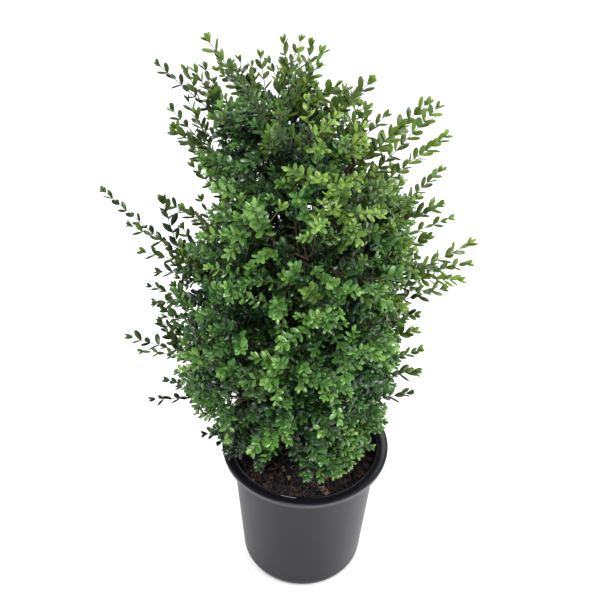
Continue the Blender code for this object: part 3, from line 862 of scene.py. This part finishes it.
def in_hollow(points):
    """Which points lie in a hollow: an oval in the picture, nearer than its depth."""
    seen = in_picture(points) * (1, -1) + PICTURE_HALF
    held = np.zeros(points.shape[:-1], bool)
    for column, row, half_width, half_height, back in HOLLOWS:
        oval = np.hypot((seen[..., 0] - column) / half_width, (seen[..., 1] - row) / half_height) < 1.0
        held |= oval & (points[..., 1] < back)
    return held


def clear_of_pot(points, margin):
    """Which points lie above the soil inside the pot, or above its rim elsewhere."""
    over_soil = (from_axis(points) < WALL_TOP_RADIUS - 0.006) & (points[..., 2] > GROUND + margin)
    return over_soil | (points[..., 2] > POT_HEIGHT + margin)


print("hollows among the leaves:", len(HOLLOWS))

# %% [markdown]
# Each mass owns the space nearer to its own middle than to any other's, as neighbouring
# bubbles do. A ray walked in small steps shows how far a twig can grow before it leaves
# that space, or a shoot before it leaves the crown.

# %% Room to grow
BORDER_SLACK = 0.016
RAY_STEP = 0.003
RISE_HEIGHTS = (0.28, 0.36, 0.55, 0.72, 0.88)
RISES = (-0.30, 0.15, 0.50, 0.85, 1.70)

for mass in MASSES:
    others = [other for other in MASSES if other is not mass]
    way = unit(np.array([other["middle"] - mass["middle"] for other in others]))
    half = np.array([(other["middle"] + mass["middle"]) / 2 for other in others])
    mass["ways"] = way
    mass["limits"] = (way * half).sum(axis=1) + BORDER_SLACK


def in_space(mass, points, slack=0.0):
    """Which points lie in the mass's own space, its border let out or drawn in by the slack."""
    return (points @ mass["ways"].T <= mass["limits"] + slack).all(axis=-1)


def free_length(starts, ways, inset, mass=None, furthest=0.24):
    """How far each ray runs before it leaves the crown, or the mass's space where one is given."""
    steps = np.arange(0.0, furthest, RAY_STEP)
    points = starts[:, None] + ways[:, None] * steps[:, None]
    held = inside_crown(points, inset)
    if mass is not None:
        held &= in_space(mass, points)
    return np.where(held.all(axis=1), furthest, steps[np.argmin(held, axis=1)])


def growing_way(points):
    """The way that shoots lean at a place: level low down, and steeper towards the top."""
    height = points[..., 2]
    away = points[..., :2] - np.stack([crown_middle(height), np.zeros_like(height)], axis=-1)
    level = away / np.maximum(np.linalg.norm(away, axis=-1, keepdims=True), 0.03)
    rise = np.interp(height, RISE_HEIGHTS, RISES)
    return unit(np.concatenate([level, rise[..., None]], axis=-1))


crown_centre, to_right = np.array([[0.0, 0.0, 0.6]]), np.array([[1.0, 0.0, 0.0]])
print("room to the right of the crown's centre:", free_length(crown_centre, to_right, 0.0).round(3))

# %% [markdown]
# Twigs spread from a mass's stem by the golden angle, as a plant's own buds do, so that
# no two lie over each other. They bow a little under their weight.

# %% Twigs
TWIGS_PER_MASS = 14
TWIG_CONE = 125.0
GOLDEN_ANGLE = 137.508
TWIG_INSETS = (0.022, 0.050)
TWIG_SHORTEST = 0.016
TWIG_LONGEST = 0.150


def spiral_ways(axis, count, cone):
    """Even directions within a cone round the axis, each turned on by the golden angle."""
    side = unit(np.cross(axis, (0.31, 0.52, 0.8)))
    top = np.cross(axis, side)
    share = (np.arange(count) + 0.5) / count
    lean = np.arccos(1 - share * (1 - math.cos(math.radians(cone))))
    turn = np.radians(GOLDEN_ANGLE) * np.arange(count) + dice.uniform(0, 6.28)
    return np.cos(lean)[:, None] * axis + np.sin(lean)[:, None] * swung(turn, side, top)


def bent(starts, ends, lift, steps):
    """Lines from starts to ends that bow by the lift: (1-t)^2 a + 2t(1-t) m + t^2 b."""
    middle = (starts + ends) / 2 + lift
    t = np.linspace(0, 1, steps)[:, None]
    return (1 - t) ** 2 * starts[:, None] + 2 * t * (1 - t) * middle[:, None] + t**2 * ends[:, None]


def grow_twigs(mass):
    """The mass's twigs, as lines of eight points that stop short of the crown's outline."""
    count = TWIGS_PER_MASS
    ways = spiral_ways(np.array(mass["outward"]), count, TWIG_CONE)
    ways = unit(ways + dice.normal(0, 0.12, (count, 3)))
    entry, middle = np.array(mass["entry"]), np.array(mass["middle"])
    starts = entry + (middle - entry) * dice.uniform(0.35, 1.0, count)[:, None]
    least = TWIG_INSETS[0]
    inset = dice.uniform(*TWIG_INSETS, count)
    far = np.minimum(free_length(starts, ways, least, mass) - (inset - least), TWIG_LONGEST)
    lift = np.stack([dice.normal(0, 0.004, count), dice.normal(0, 0.004, count), -0.10 * far], axis=1)
    return bent(starts, starts + ways * far[:, None], lift, 8)[far > TWIG_SHORTEST]


all_twigs = [grow_twigs(mass) for mass in MASSES]
print("twigs:", sum(len(twigs) for twigs in all_twigs))

# %% [markdown]
# A few shoots stand out from the crown's edge, and they give the plant its look. They are
# set by their tips: the column and row where the photo shows each one, and how far back
# it lies. The last fifteen point forwards and backwards, where the picture can't show how
# far they stand out. Each runs back to the twig that could best bear it. Those at the top
# and at the left fork, and those that point forwards carry leaves like the rest of the front.

# %% Long shoots
FRONT_LIMIT = -0.12
LONG_TIPS = (
    (104, 191, 0.00), (131, 226, -0.03), (144, 252, -0.06), (150, 286, 0.02), (161, 321, -0.05),
    (156, 303, 0.03), (166, 311, -0.02), (131, 337, 0.00), (142, 351, -0.04), (154, 399, 0.01),
    (166, 201, 0.04), (183, 209, -0.05), (194, 152, 0.05), (193, 166, -0.03), (172, 110, 0.00),
    (176, 128, 0.05), (159, 65, 0.00), (196, 72, 0.03), (209, 41, 0.00), (222, 58, -0.04),
    (284, 36, 0.00), (301, 37, 0.01), (240, 60, 0.03), (322, 52, 0.00), (335, 87, -0.03),
    (311, 45, 0.02), (352, 94, 0.02), (188, 100, 0.02), (161, 272, 0.00), (168, 380, 0.02),
    (206, 434, -0.02), (441, 289, 0.00), (426, 238, 0.02), (369, 83, 0.00), (366, 110, -0.04),
    (384, 117, 0.03), (400, 129, -0.02), (437, 108, 0.00), (426, 104, 0.02), (445, 136, 0.01),
    (440, 171, 0.00), (437, 206, -0.02), (450, 218, 0.00), (469, 244, 0.00), (467, 263, 0.01),
    (459, 280, -0.01), (416, 314, 0.00), (413, 331, -0.03), (419, 350, 0.00), (414, 372, -0.03),
    (408, 393, 0.00),
    (252, 206, -0.185), (330, 190, -0.180), (276, 362, -0.195), (340, 385, -0.170), (212, 330, -0.150),
    (285, 66, 0.165), (316, 108, 0.190), (262, 140, 0.200), (345, 165, 0.195), (300, 205, 0.222),
    (245, 235, 0.210), (352, 250, 0.205), (290, 285, 0.215), (330, 318, 0.190), (262, 330, 0.180),
)


def fork_shares(column, row):
    """Where side shoots leave a long shoot: two on the upper ones, and none on the right."""
    if row < 100:
        return (0.12, 0.40)
    return (0.22,) if column < 400 else ()


def long_shoots(twig_points):
    """Each long shoot from its tip in the picture back to the twig that bears it, and its side shoots.

    The bearer lies where the distance off the line that grows back from the tip, and 0.45 of
    the distance from the tip, add up to least.
    """
    turn = np.array(camera.matrix_world.to_3x3())
    eye = np.array(CAMERA_PLACE)
    starts, ends = [], []
    for column, row, back in LONG_TIPS:
        ray = turn @ ((column - PICTURE_HALF) / FOCAL_PIXELS, (PICTURE_HALF - row) / FOCAL_PIXELS, -1.0)
        tip = np.clip(eye + ray * (back - eye[1]) / ray[1], CAD_LOW + 0.002, CAD_HIGH + 0.002)
        way = unit(growing_way(tip) + dice.normal(0, 0.10, 3))
        reach = np.linalg.norm(twig_points - tip, axis=1)
        aside = np.linalg.norm(np.cross(twig_points - tip, way), axis=1)
        base = twig_points[np.argmin(aside + 0.45 * np.maximum(reach, 0.055))]
        way = unit(tip - base)
        starts.append(base)
        ends.append(tip)
        for share in fork_shares(column, row):
            fork = base + (tip - base) * (share + dice.uniform(-0.06, 0.06))
            around = unit(np.cross(way, dice.normal(size=3)))
            lean = unit(way + 0.62 * around + (0, 0, 0.15))
            starts.append(fork)
            ends.append(fork + lean * dice.uniform(0.45, 0.75) * np.linalg.norm(tip - fork))
    return np.array(starts), np.array(ends)


long_starts, long_ends = long_shoots(np.concatenate([twigs[:, 2:].reshape(-1, 3) for twigs in all_twigs]))
print("long shoots:", len(LONG_TIPS), "with side shoots:", len(long_starts))

# %% [markdown]
# Shoots leave each twig at even steps, each turned a good quarter round from the one before,
# and lean outwards and up to the light. Short ones fill the crown's inside, and also grow
# along the stems. The shoots of one twig share a tone, so that sprays stand apart.

# %% Shoots
SHOOT_SPACING = 0.0108
INNER_SPACING = 0.013
STEM_SPACING = 0.010
SHOOT_TURN = 1.75
SHOOT_SHORTEST = 0.014
SHOOT_LONGEST = (0.046, 0.078)
INNER_LENGTHS = (0.024, 0.046)
SPRAY_CONTRAST = 0.85


def grow_shoots(twigs, first, last, spacing):
    """Shoots along part of each twig: where each starts, which way it leans, and its twig's number."""
    starts, ways, owners = [], [], []
    for number, line in enumerate(twigs):
        length = np.linalg.norm(np.diff(line, axis=0), axis=1).sum()
        count = max(3, int((last - first) * length / spacing))
        share = np.linspace(first, last, count)
        place = share * (len(line) - 1)
        base = np.stack([np.interp(place, np.arange(len(line)), line[:, axis]) for axis in range(3)], axis=1)
        along = unit(line[-1] - line[-3])
        side = unit(np.cross(along, (0.2, 0.3, 0.9)))
        turn = dice.uniform(0, 6.28) + np.arange(count) * SHOOT_TURN + dice.normal(0, 0.3, count)
        spread = np.where(share < 0.99, 0.75, 0.15)[:, None]
        way = 0.45 * along + spread * swung(turn, side, np.cross(along, side))
        way = way + 0.75 * growing_way(base) + dice.normal(0, 0.12, (count, 3))
        starts.append(base)
        ways.append(unit(way))
        owners.append(np.full(count, number))
    return np.concatenate(starts), np.concatenate(ways), np.concatenate(owners)


def shoot_ends(starts, ways):
    """Where shoots stop: a little inside or outside of the crown's outline, as chance has it."""
    ragged = dice.normal(0.001, 0.006, len(starts))
    longest = dice.uniform(*SHOOT_LONGEST, len(starts))
    far = np.clip(free_length(starts, ways, 0.0) + ragged, SHOOT_SHORTEST, longest)
    return starts + ways * far[:, None]


def grow_mass(mass, twigs):
    """All that grows in a mass's space: its own shoots, its long ones and its inner ones."""
    starts, ways, owner = grow_shoots(twigs, 0.30, 1.0, SHOOT_SPACING)
    ends = shoot_ends(starts, ways)
    inner_starts, inner_ways, _ = grow_shoots(twigs, 0.02, 0.60, INNER_SPACING)
    core = in_space(mass, stem_shoots[0], -BORDER_SLACK)
    inner_starts = np.concatenate([inner_starts, stem_shoots[0][core]])
    inner_ways = np.concatenate([inner_ways, stem_shoots[1][core]])
    inner_ends = inner_starts + inner_ways * dice.uniform(*INNER_LENGTHS, (len(inner_starts), 1))
    inner_open = ~in_hollow(inner_ends) & inside_crown(inner_ends, 0.010)
    open_air = ~in_hollow(ends) & ~in_hollow((starts + ends) / 2)
    mine = in_space(mass, (long_starts + long_ends) / 2, -BORDER_SLACK)
    beside = long_ends[mine, 1] > FRONT_LIMIT
    # Long shoots beside the crown are painted lighter towards the right, as painted light.
    long_painted_light = np.where(beside, 1.8 * long_ends[mine, 0] - 0.3, 1.0)
    twig_tone = dice.normal(0, SPRAY_CONTRAST, len(twigs))
    return {
        "mass": mass,
        "twigs": twigs,
        "starts": np.concatenate([starts[open_air], long_starts[mine]]),
        "ends": np.concatenate([ends[open_air], long_ends[mine]]),
        "long": np.concatenate([np.zeros(open_air.sum(), bool), beside]),
        "tone": np.concatenate([twig_tone[owner][open_air], long_painted_light]),
        "inner_starts": inner_starts[inner_open],
        "inner_ends": inner_ends[inner_open],
    }


stem_twigs = [smoothed(line, 24)[3:] for line in stem_lines for _ in range(6)]
stem_shoots = grow_shoots(stem_twigs, 0.0, 0.97, STEM_SPACING)
growth = [grow_mass(mass, twigs) for mass, twigs in zip(MASSES, all_twigs)]
print("shoots:", *(sum(len(g[key]) for g in growth) for key in ("starts", "inner_starts")))

# %% [markdown]
# Leaves differ from spray to spray. Each takes one of seven tones, from deep to light, which
# are both the sprays' own differences and painted light and shade, in one of three families:
# cool greens, warmer ones, and olive on the shoots that stand out.
# They are plain colours, with undersides that are paler and duller.

# %% Leaf colours
# Seven tones per family, from deep to light: the leaves' own range, and also painted shade and painted light.
COOL_GREENS = (
    (0.0065, 0.0190, 0.0080), (0.0128, 0.0400, 0.0120), (0.0250, 0.0760, 0.0180), (0.0460, 0.1260, 0.0260),
    (0.0800, 0.1860, 0.0380), (0.1230, 0.2420, 0.0520), (0.1750, 0.3050, 0.0780),
)
WARM_GREENS = (
    (0.0085, 0.0190, 0.0060), (0.0170, 0.0390, 0.0095), (0.0330, 0.0740, 0.0150), (0.0600, 0.1200, 0.0210),
    (0.0960, 0.1740, 0.0300), (0.1400, 0.2280, 0.0400), (0.1900, 0.2850, 0.0600),
)
OLIVE_GREENS = (
    (0.0070, 0.0140, 0.0045), (0.0155, 0.0290, 0.0070), (0.0320, 0.0570, 0.0110), (0.0570, 0.0960, 0.0150),
    (0.0850, 0.1390, 0.0190), (0.1200, 0.1900, 0.0240), (0.1600, 0.2500, 0.0330),
)
FAMILIES = (("cool", COOL_GREENS, 0.56), ("warm", WARM_GREENS, 0.46), ("olive", OLIVE_GREENS, 0.36))
UNDERSIDES = ((0.0600, 0.1250, 0.0500), (0.1300, 0.2250, 0.0750))
TONES = len(COOL_GREENS)
OLIVE = 2.0
PALE_UNDER_PAINTED_LIGHT_FROM = 3.4

leaf_looks = [
    plain_material(f"leaf_{family}_{index + 1}", colour, 0.29, gloss)
    for family, greens, gloss in FAMILIES
    for index, colour in enumerate(greens)
] + [plain_material(f"leaf_under_{index + 1}", colour, 0.55, 0.30) for index, colour in enumerate(UNDERSIDES)]
young_bark = plain_material("young_shoot", (0.100, 0.120, 0.040), 0.6, 0.3)
old_bark = bark("twig_bark", (0.024, 0.018, 0.014), (0.095, 0.070, 0.050))
print("leaf colours:", len(leaf_looks))

# %% [markdown]
# A boxwood leaf is a small oval blade, arched over its midrib and curved down towards its
# tip. It is a thin closed body of 24 faces. Deep inside the crown a leaf has only ten,
# since little but its shade shows. All the leaves of a tier are one array of such blades.

# %% Leaf shapes
LEAF_LENGTH = 0.0147
BLADE_STATIONS = (0.12, 0.38, 0.68, 0.92)
BLADE_HALVES = (0.21, 0.45, 0.49, 0.28)
BLADE_ARCH = (0.048, 0.090, 0.086, 0.046)
BLADE_WIDTHS = (0.40, 0.50)
SIMPLE_WIDTHS = (0.52, 0.62)
PAST_BOX = 0.018


def blade_shape():
    """The fine leaf: its points (along, across, up) and the numbers of its upper and under faces.

    Point 0 is the root and 1 the tip, then come left edge, midrib and right edge at each station.
    """
    x = np.concatenate([[0.0, 1.0], np.repeat(BLADE_STATIONS, 3)])
    y = np.concatenate([[0.0, 0.0], np.outer(BLADE_HALVES, (1, 0, -1)).ravel()])
    z = np.concatenate([[0.0, 0.0], np.outer(BLADE_ARCH, (0, 1, 0)).ravel()])
    left, rib, right = (2 + 3 * np.arange(4) + k for k in range(3))
    upper = [(0, right[0], rib[0]), (0, rib[0], left[0]), (right[3], 1, rib[3]), (rib[3], 1, left[3])]
    under = [(0, left[0], right[0]), (left[3], 1, right[3])]
    for k in range(3):
        upper += [(right[k], right[k + 1], rib[k + 1]), (right[k], rib[k + 1], rib[k])]
        upper += [(rib[k], rib[k + 1], left[k + 1]), (rib[k], left[k + 1], left[k])]
        under += [(left[k], left[k + 1], right[k + 1]), (left[k], right[k + 1], right[k])]
    return np.stack([x, y, z], axis=1), np.array(upper), np.array(under)


def simple_shape():
    """The simple leaf: root, tip, two edge points on each side, and a raised middle."""
    edge = [(0.28, -0.40, 0), (0.72, -0.43, 0), (0.72, 0.43, 0), (0.28, 0.40, 0)]
    points = np.array([(0, 0, 0), (1, 0, 0), *edge, (0.52, 0, 0.09)])
    upper = np.array([(0, 2, 6), (2, 3, 6), (3, 1, 6), (1, 4, 6), (4, 5, 6), (5, 0, 6)])
    return points, upper, np.array([(0, 5, 2), (2, 5, 4), (2, 4, 3), (3, 4, 1)])


def blades(shape, roots, axes, lengths, widths, droop):
    """The points of every leaf: root + x * length * way + y * width * side + z * length * top.

    Along the blade z is the arch of the midrib less the droop times x squared.
    """
    x, y, z = shape.T
    rise = (z - droop[:, None] * x**2) * lengths[:, None]
    local = np.stack([x * lengths[:, None], y * widths[:, None], rise], axis=-1)
    return roots[:, None] + np.einsum("nkc,ncd->nkd", local, axes)


BLADE, SIMPLE = blade_shape(), simple_shape()
print("faces of a leaf:", [len(upper) + len(under) for _, upper, under in (BLADE, SIMPLE)])

# %% [markdown]
# Leaves sit on a shoot in crossed pairs, which crowd together and lie closer to it at the
# tip, where they are smaller, younger and lighter. Pairs stand further apart on a long
# shoot, and its leaves are larger.

# %% Leaves along a shoot
SHORT_GAP = (0.0067, 0.0087)
LONG_GAP = (0.0088, 0.0122)
LEFT_GAP = 1.2
LONG_SIZE = 1.30
LEFT_SIZE = 1.18
TIP_PAIRS = (0.0005, 0.0032)
LEAF_CONTRAST = 0.50


def leaves_of(starts, ends, long, tone, family):
    """Crossed pairs along each shoot and a close pair or two at its tip, as flat arrays of leaves.

    Each row holds a root, the blade's way, the shoot's way, a size, a lightness and a family.
    """
    rows = []
    for start, end, is_long, shade, kind in zip(starts, ends, long, tone, family):
        line = end - start
        length = np.linalg.norm(line)
        way = line / max(length, 1e-6)
        leftward = is_long and end[0] < 0
        gap = dice.uniform(*(LONG_GAP if is_long else SHORT_GAP)) * (LEFT_GAP if leftward else 1.0)
        pairs = max(2, int((0.90 * length - 0.003) / gap) + 1)
        back = np.concatenate([TIP_PAIRS, TIP_PAIRS[1] + gap * np.arange(1, pairs)])
        count = len(back)
        size = np.interp(back, [0, 0.004, 0.014, 0.030], [0.60, 0.82, 0.97, 1.0]) * dice.uniform(0.78, 1.12)
        if is_long:
            size *= LEFT_SIZE if leftward else LONG_SIZE
        angle = np.radians(np.interp(back, [0, 0.010, 0.040], [24, 34, 44] if is_long else [31, 44, 58]))
        turn = dice.uniform(0, 6.28) + np.arange(count) * math.pi / 2 + dice.normal(0, 0.18, count)
        light = shade + np.interp(back, [0, 0.006, 0.03], [1.1, 0.6, -0.1])
        side = unit(np.cross(way, (0.23, 0.41, 0.88)))
        top = np.cross(way, side)
        for half in (0.0, math.pi):
            flat = swung(turn + half, side, top)
            flat[:, 2] *= 0.45 + 0.55 * abs(way[2])
            blade = swung(angle + dice.normal(0, 0.13, count), way, unit(flat))
            spray = np.stack([size, light, np.full(count, kind)], axis=1)
            root = end - way * back[:, None]
            rows.append(np.concatenate([root, blade, np.repeat(way[None], count, 0), spray], axis=1))
    return np.concatenate(rows)


def leaf_arrays(leaf, kind, narrowest, widest):
    """Points, faces and material slots of the leaves in the rows that keep clear of the pot."""
    shape, upper, under = kind
    size, light, family = leaf[:, 9:].T
    count = len(leaf)
    ups = 0.55 * leaf[:, 6:9] + (0, -0.28, 0.78) + dice.normal(0, 0.25, (count, 3))
    lengths = LEAF_LENGTH * size * dice.uniform(0.88, 1.10, count)
    widths = lengths * dice.uniform(narrowest, widest, count)
    droop = dice.uniform(-0.04, 0.16, count)
    points = blades(shape, leaf[:, :3], turns(leaf[:, 3:6], ups), lengths, widths, droop)
    keep = clear_of_pot(points, 0.002).all(axis=1) & ~in_hollow(points[:, 0])
    keep &= ((points > CAD_LOW - PAST_BOX) & (points < CAD_HIGH + PAST_BOX)).all(axis=(1, 2))
    points, light, family = points[keep], light[keep], family[keep]
    faces = np.concatenate([upper, under]) + len(shape) * np.arange(len(points))[:, None, None]
    tone = np.clip(np.round(light + dice.normal(0, LEAF_CONTRAST, len(points))), 0, TONES - 1)
    upper_slot = tone + TONES * family
    # Sprays with more painted light take the paler underside colour.
    under_slot = len(FAMILIES) * TONES + (light > PALE_UNDER_PAINTED_LIGHT_FROM)
    is_upper = np.arange(len(upper) + len(under)) < len(upper)
    slots = np.where(is_upper, upper_slot[:, None], under_slot[:, None])
    return points.reshape(-1, 3), faces.reshape(-1, 3), slots.ravel()


print("pairs on a shoot of 60 mm: about", round(0.060 / np.mean(SHORT_GAP)))

# %% [markdown]
# The tone of a spray depends on where it is, as painted light and shade. Foliage is painted
# deeper at the left, low down and inside the crown, deepest at the skirt's left side, and
# lighter high up. High up and to the right the greens turn yellower, partly as the leaves'
# own colour and partly as painted light.

# %% Light and warmth of the sprays
MEAN_TONE = 3.28
INSIDE_PAINTED_SHADE = 22.0


def painted_light_at(points):
    """Painted light and shade of the foliage at a place: deeper to the left, low down and at the skirt."""
    # Painted shade to the left and at the skirt, most at its left side, and painted light high up.
    rightward = np.interp(points[:, 0], [-0.16, -0.02, 0.20], [-0.60, 0.0, 0.08])
    skirt = 46.0 * np.clip(0.36 - points[:, 2], 0.0, 0.06) * np.clip(0.3 - 14.0 * points[:, 0], 0.15, 1.0)
    return MEAN_TONE + rightward + 2.0 * np.clip(points[:, 2] - 0.62, -0.30, 0.10) - skirt


def warm_and_painted_light_at(points):
    """1 where a spray takes the warm greens, more often high up and on the right, partly the leaves' own
    colour and partly painted light, and else 0.
    """
    lean = 4.0 * (points[:, 0] - 0.01) + 3.5 * (points[:, 2] - 0.78)
    return (lean + dice.normal(0, 0.28, len(points)) > 0).astype(float)


def joined(grown, *keys):
    """For each key, the arrays of all the tier's masses end to end."""
    return [np.concatenate([g[key] for g in grown]) for key in keys]


def tier_leaves(grown):
    """A tier's leaves: fine ones on its shoots, and simple ones on its inner shoots, dark with painted shade.
    """
    starts, ends, long, tone, inner_starts, inner_ends = joined(
        grown, "starts", "ends", "long", "tone", "inner_starts", "inner_ends"
    )
    # The spray's own tone, plus the place's painted light, less painted shade deeper inside the crown.
    depth = free_length(ends, growing_way(ends), 0.0, furthest=0.10)
    tone = tone + painted_light_at(ends) + dice.normal(0, 0.5, len(starts)) - INSIDE_PAINTED_SHADE * depth
    family = np.where(long, OLIVE, warm_and_painted_light_at(ends))
    outer = leaf_arrays(leaves_of(starts, ends, long, tone, family), BLADE, *BLADE_WIDTHS)
    # Inner leaves take deep tones, as painted shade.
    inner_painted_shade = dice.normal(0.9, 0.6, len(inner_starts))
    short = cool = np.zeros(len(inner_starts))
    inner = leaf_arrays(leaves_of(inner_starts, inner_ends, short, inner_painted_shade, cool), SIMPLE, *SIMPLE_WIDTHS)
    faces = np.concatenate([outer[1], inner[1] + len(outer[0])])
    print("leaves:", len(outer[0]) // len(BLADE[0]), "fine,", len(inner[0]) // len(SIMPLE[0]), "simple")
    return np.concatenate([outer[0], inner[0]]), [faces], leaf_looks, np.concatenate([outer[2], inner[2]])


print("tone at the middle of the crown:", painted_light_at(np.array([[0.0, 0.0, 0.6]])).round(2))

# %% [markdown]
# Last the tiers are dressed, one after another. A tier's leaves are one piece, its green
# shoots another, and its twigs a third, with the stem inside each mass among them.

# %% Foliage
SHOOT_RADII = (0.00095, 0.00050)
TWIG_RADII = (0.0016, 0.0009)
MASS_STEM_RADII = (0.0026, 0.0018)


def tapered(lines, ends, sides):
    """Tubes along the lines, whose radius goes evenly from one end's to the other's."""
    return tubes(lines, np.linspace(*ends, lines.shape[1])[None].repeat(len(lines), 0), sides)


def tier_shoots(grown):
    """The tier's shoots as tubes of three sides, the outer ones bent a little."""
    starts, ends, inner_starts, inner_ends = joined(grown, "starts", "ends", "inner_starts", "inner_ends")
    outer = bent(starts, ends, dice.normal(0, 0.0015, (len(starts), 3)), 4)
    return tapered(np.concatenate([outer, bent(inner_starts, inner_ends, 0.0, 4)]), SHOOT_RADII, 3)


def tier_twigs(grown):
    """The tier's twigs, and each mass's own stem from its entry to its middle, as one array."""
    (twig_lines,) = joined(grown, "twigs")
    entries, middles = (np.array([g["mass"][key] for g in grown]) for key in ("entry", "middle"))
    lines = np.concatenate([twig_lines, bent(entries, middles, 0.0, 8)])
    thick = [np.linspace(*TWIG_RADII, 8)] * len(twig_lines) + [np.linspace(*MASS_STEM_RADII, 8)] * len(grown)
    return tubes(lines, np.array(thick), 6)


for tier, *_ in TIERS:
    grown = [g for g in growth if g["mass"]["tier"] == tier]
    piece = mesh_piece(f"leaves_{tier}", *tier_leaves(grown), crease=20)
    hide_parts(*[g["mass"]["node"] for g in grown])
    shoot_piece = mesh_piece(f"shoots_{tier}", *tier_shoots(grown), [young_bark], crease=80)
    twig_piece = mesh_piece(f"twigs_{tier}", *tier_twigs(grown), [old_bark], crease=70)
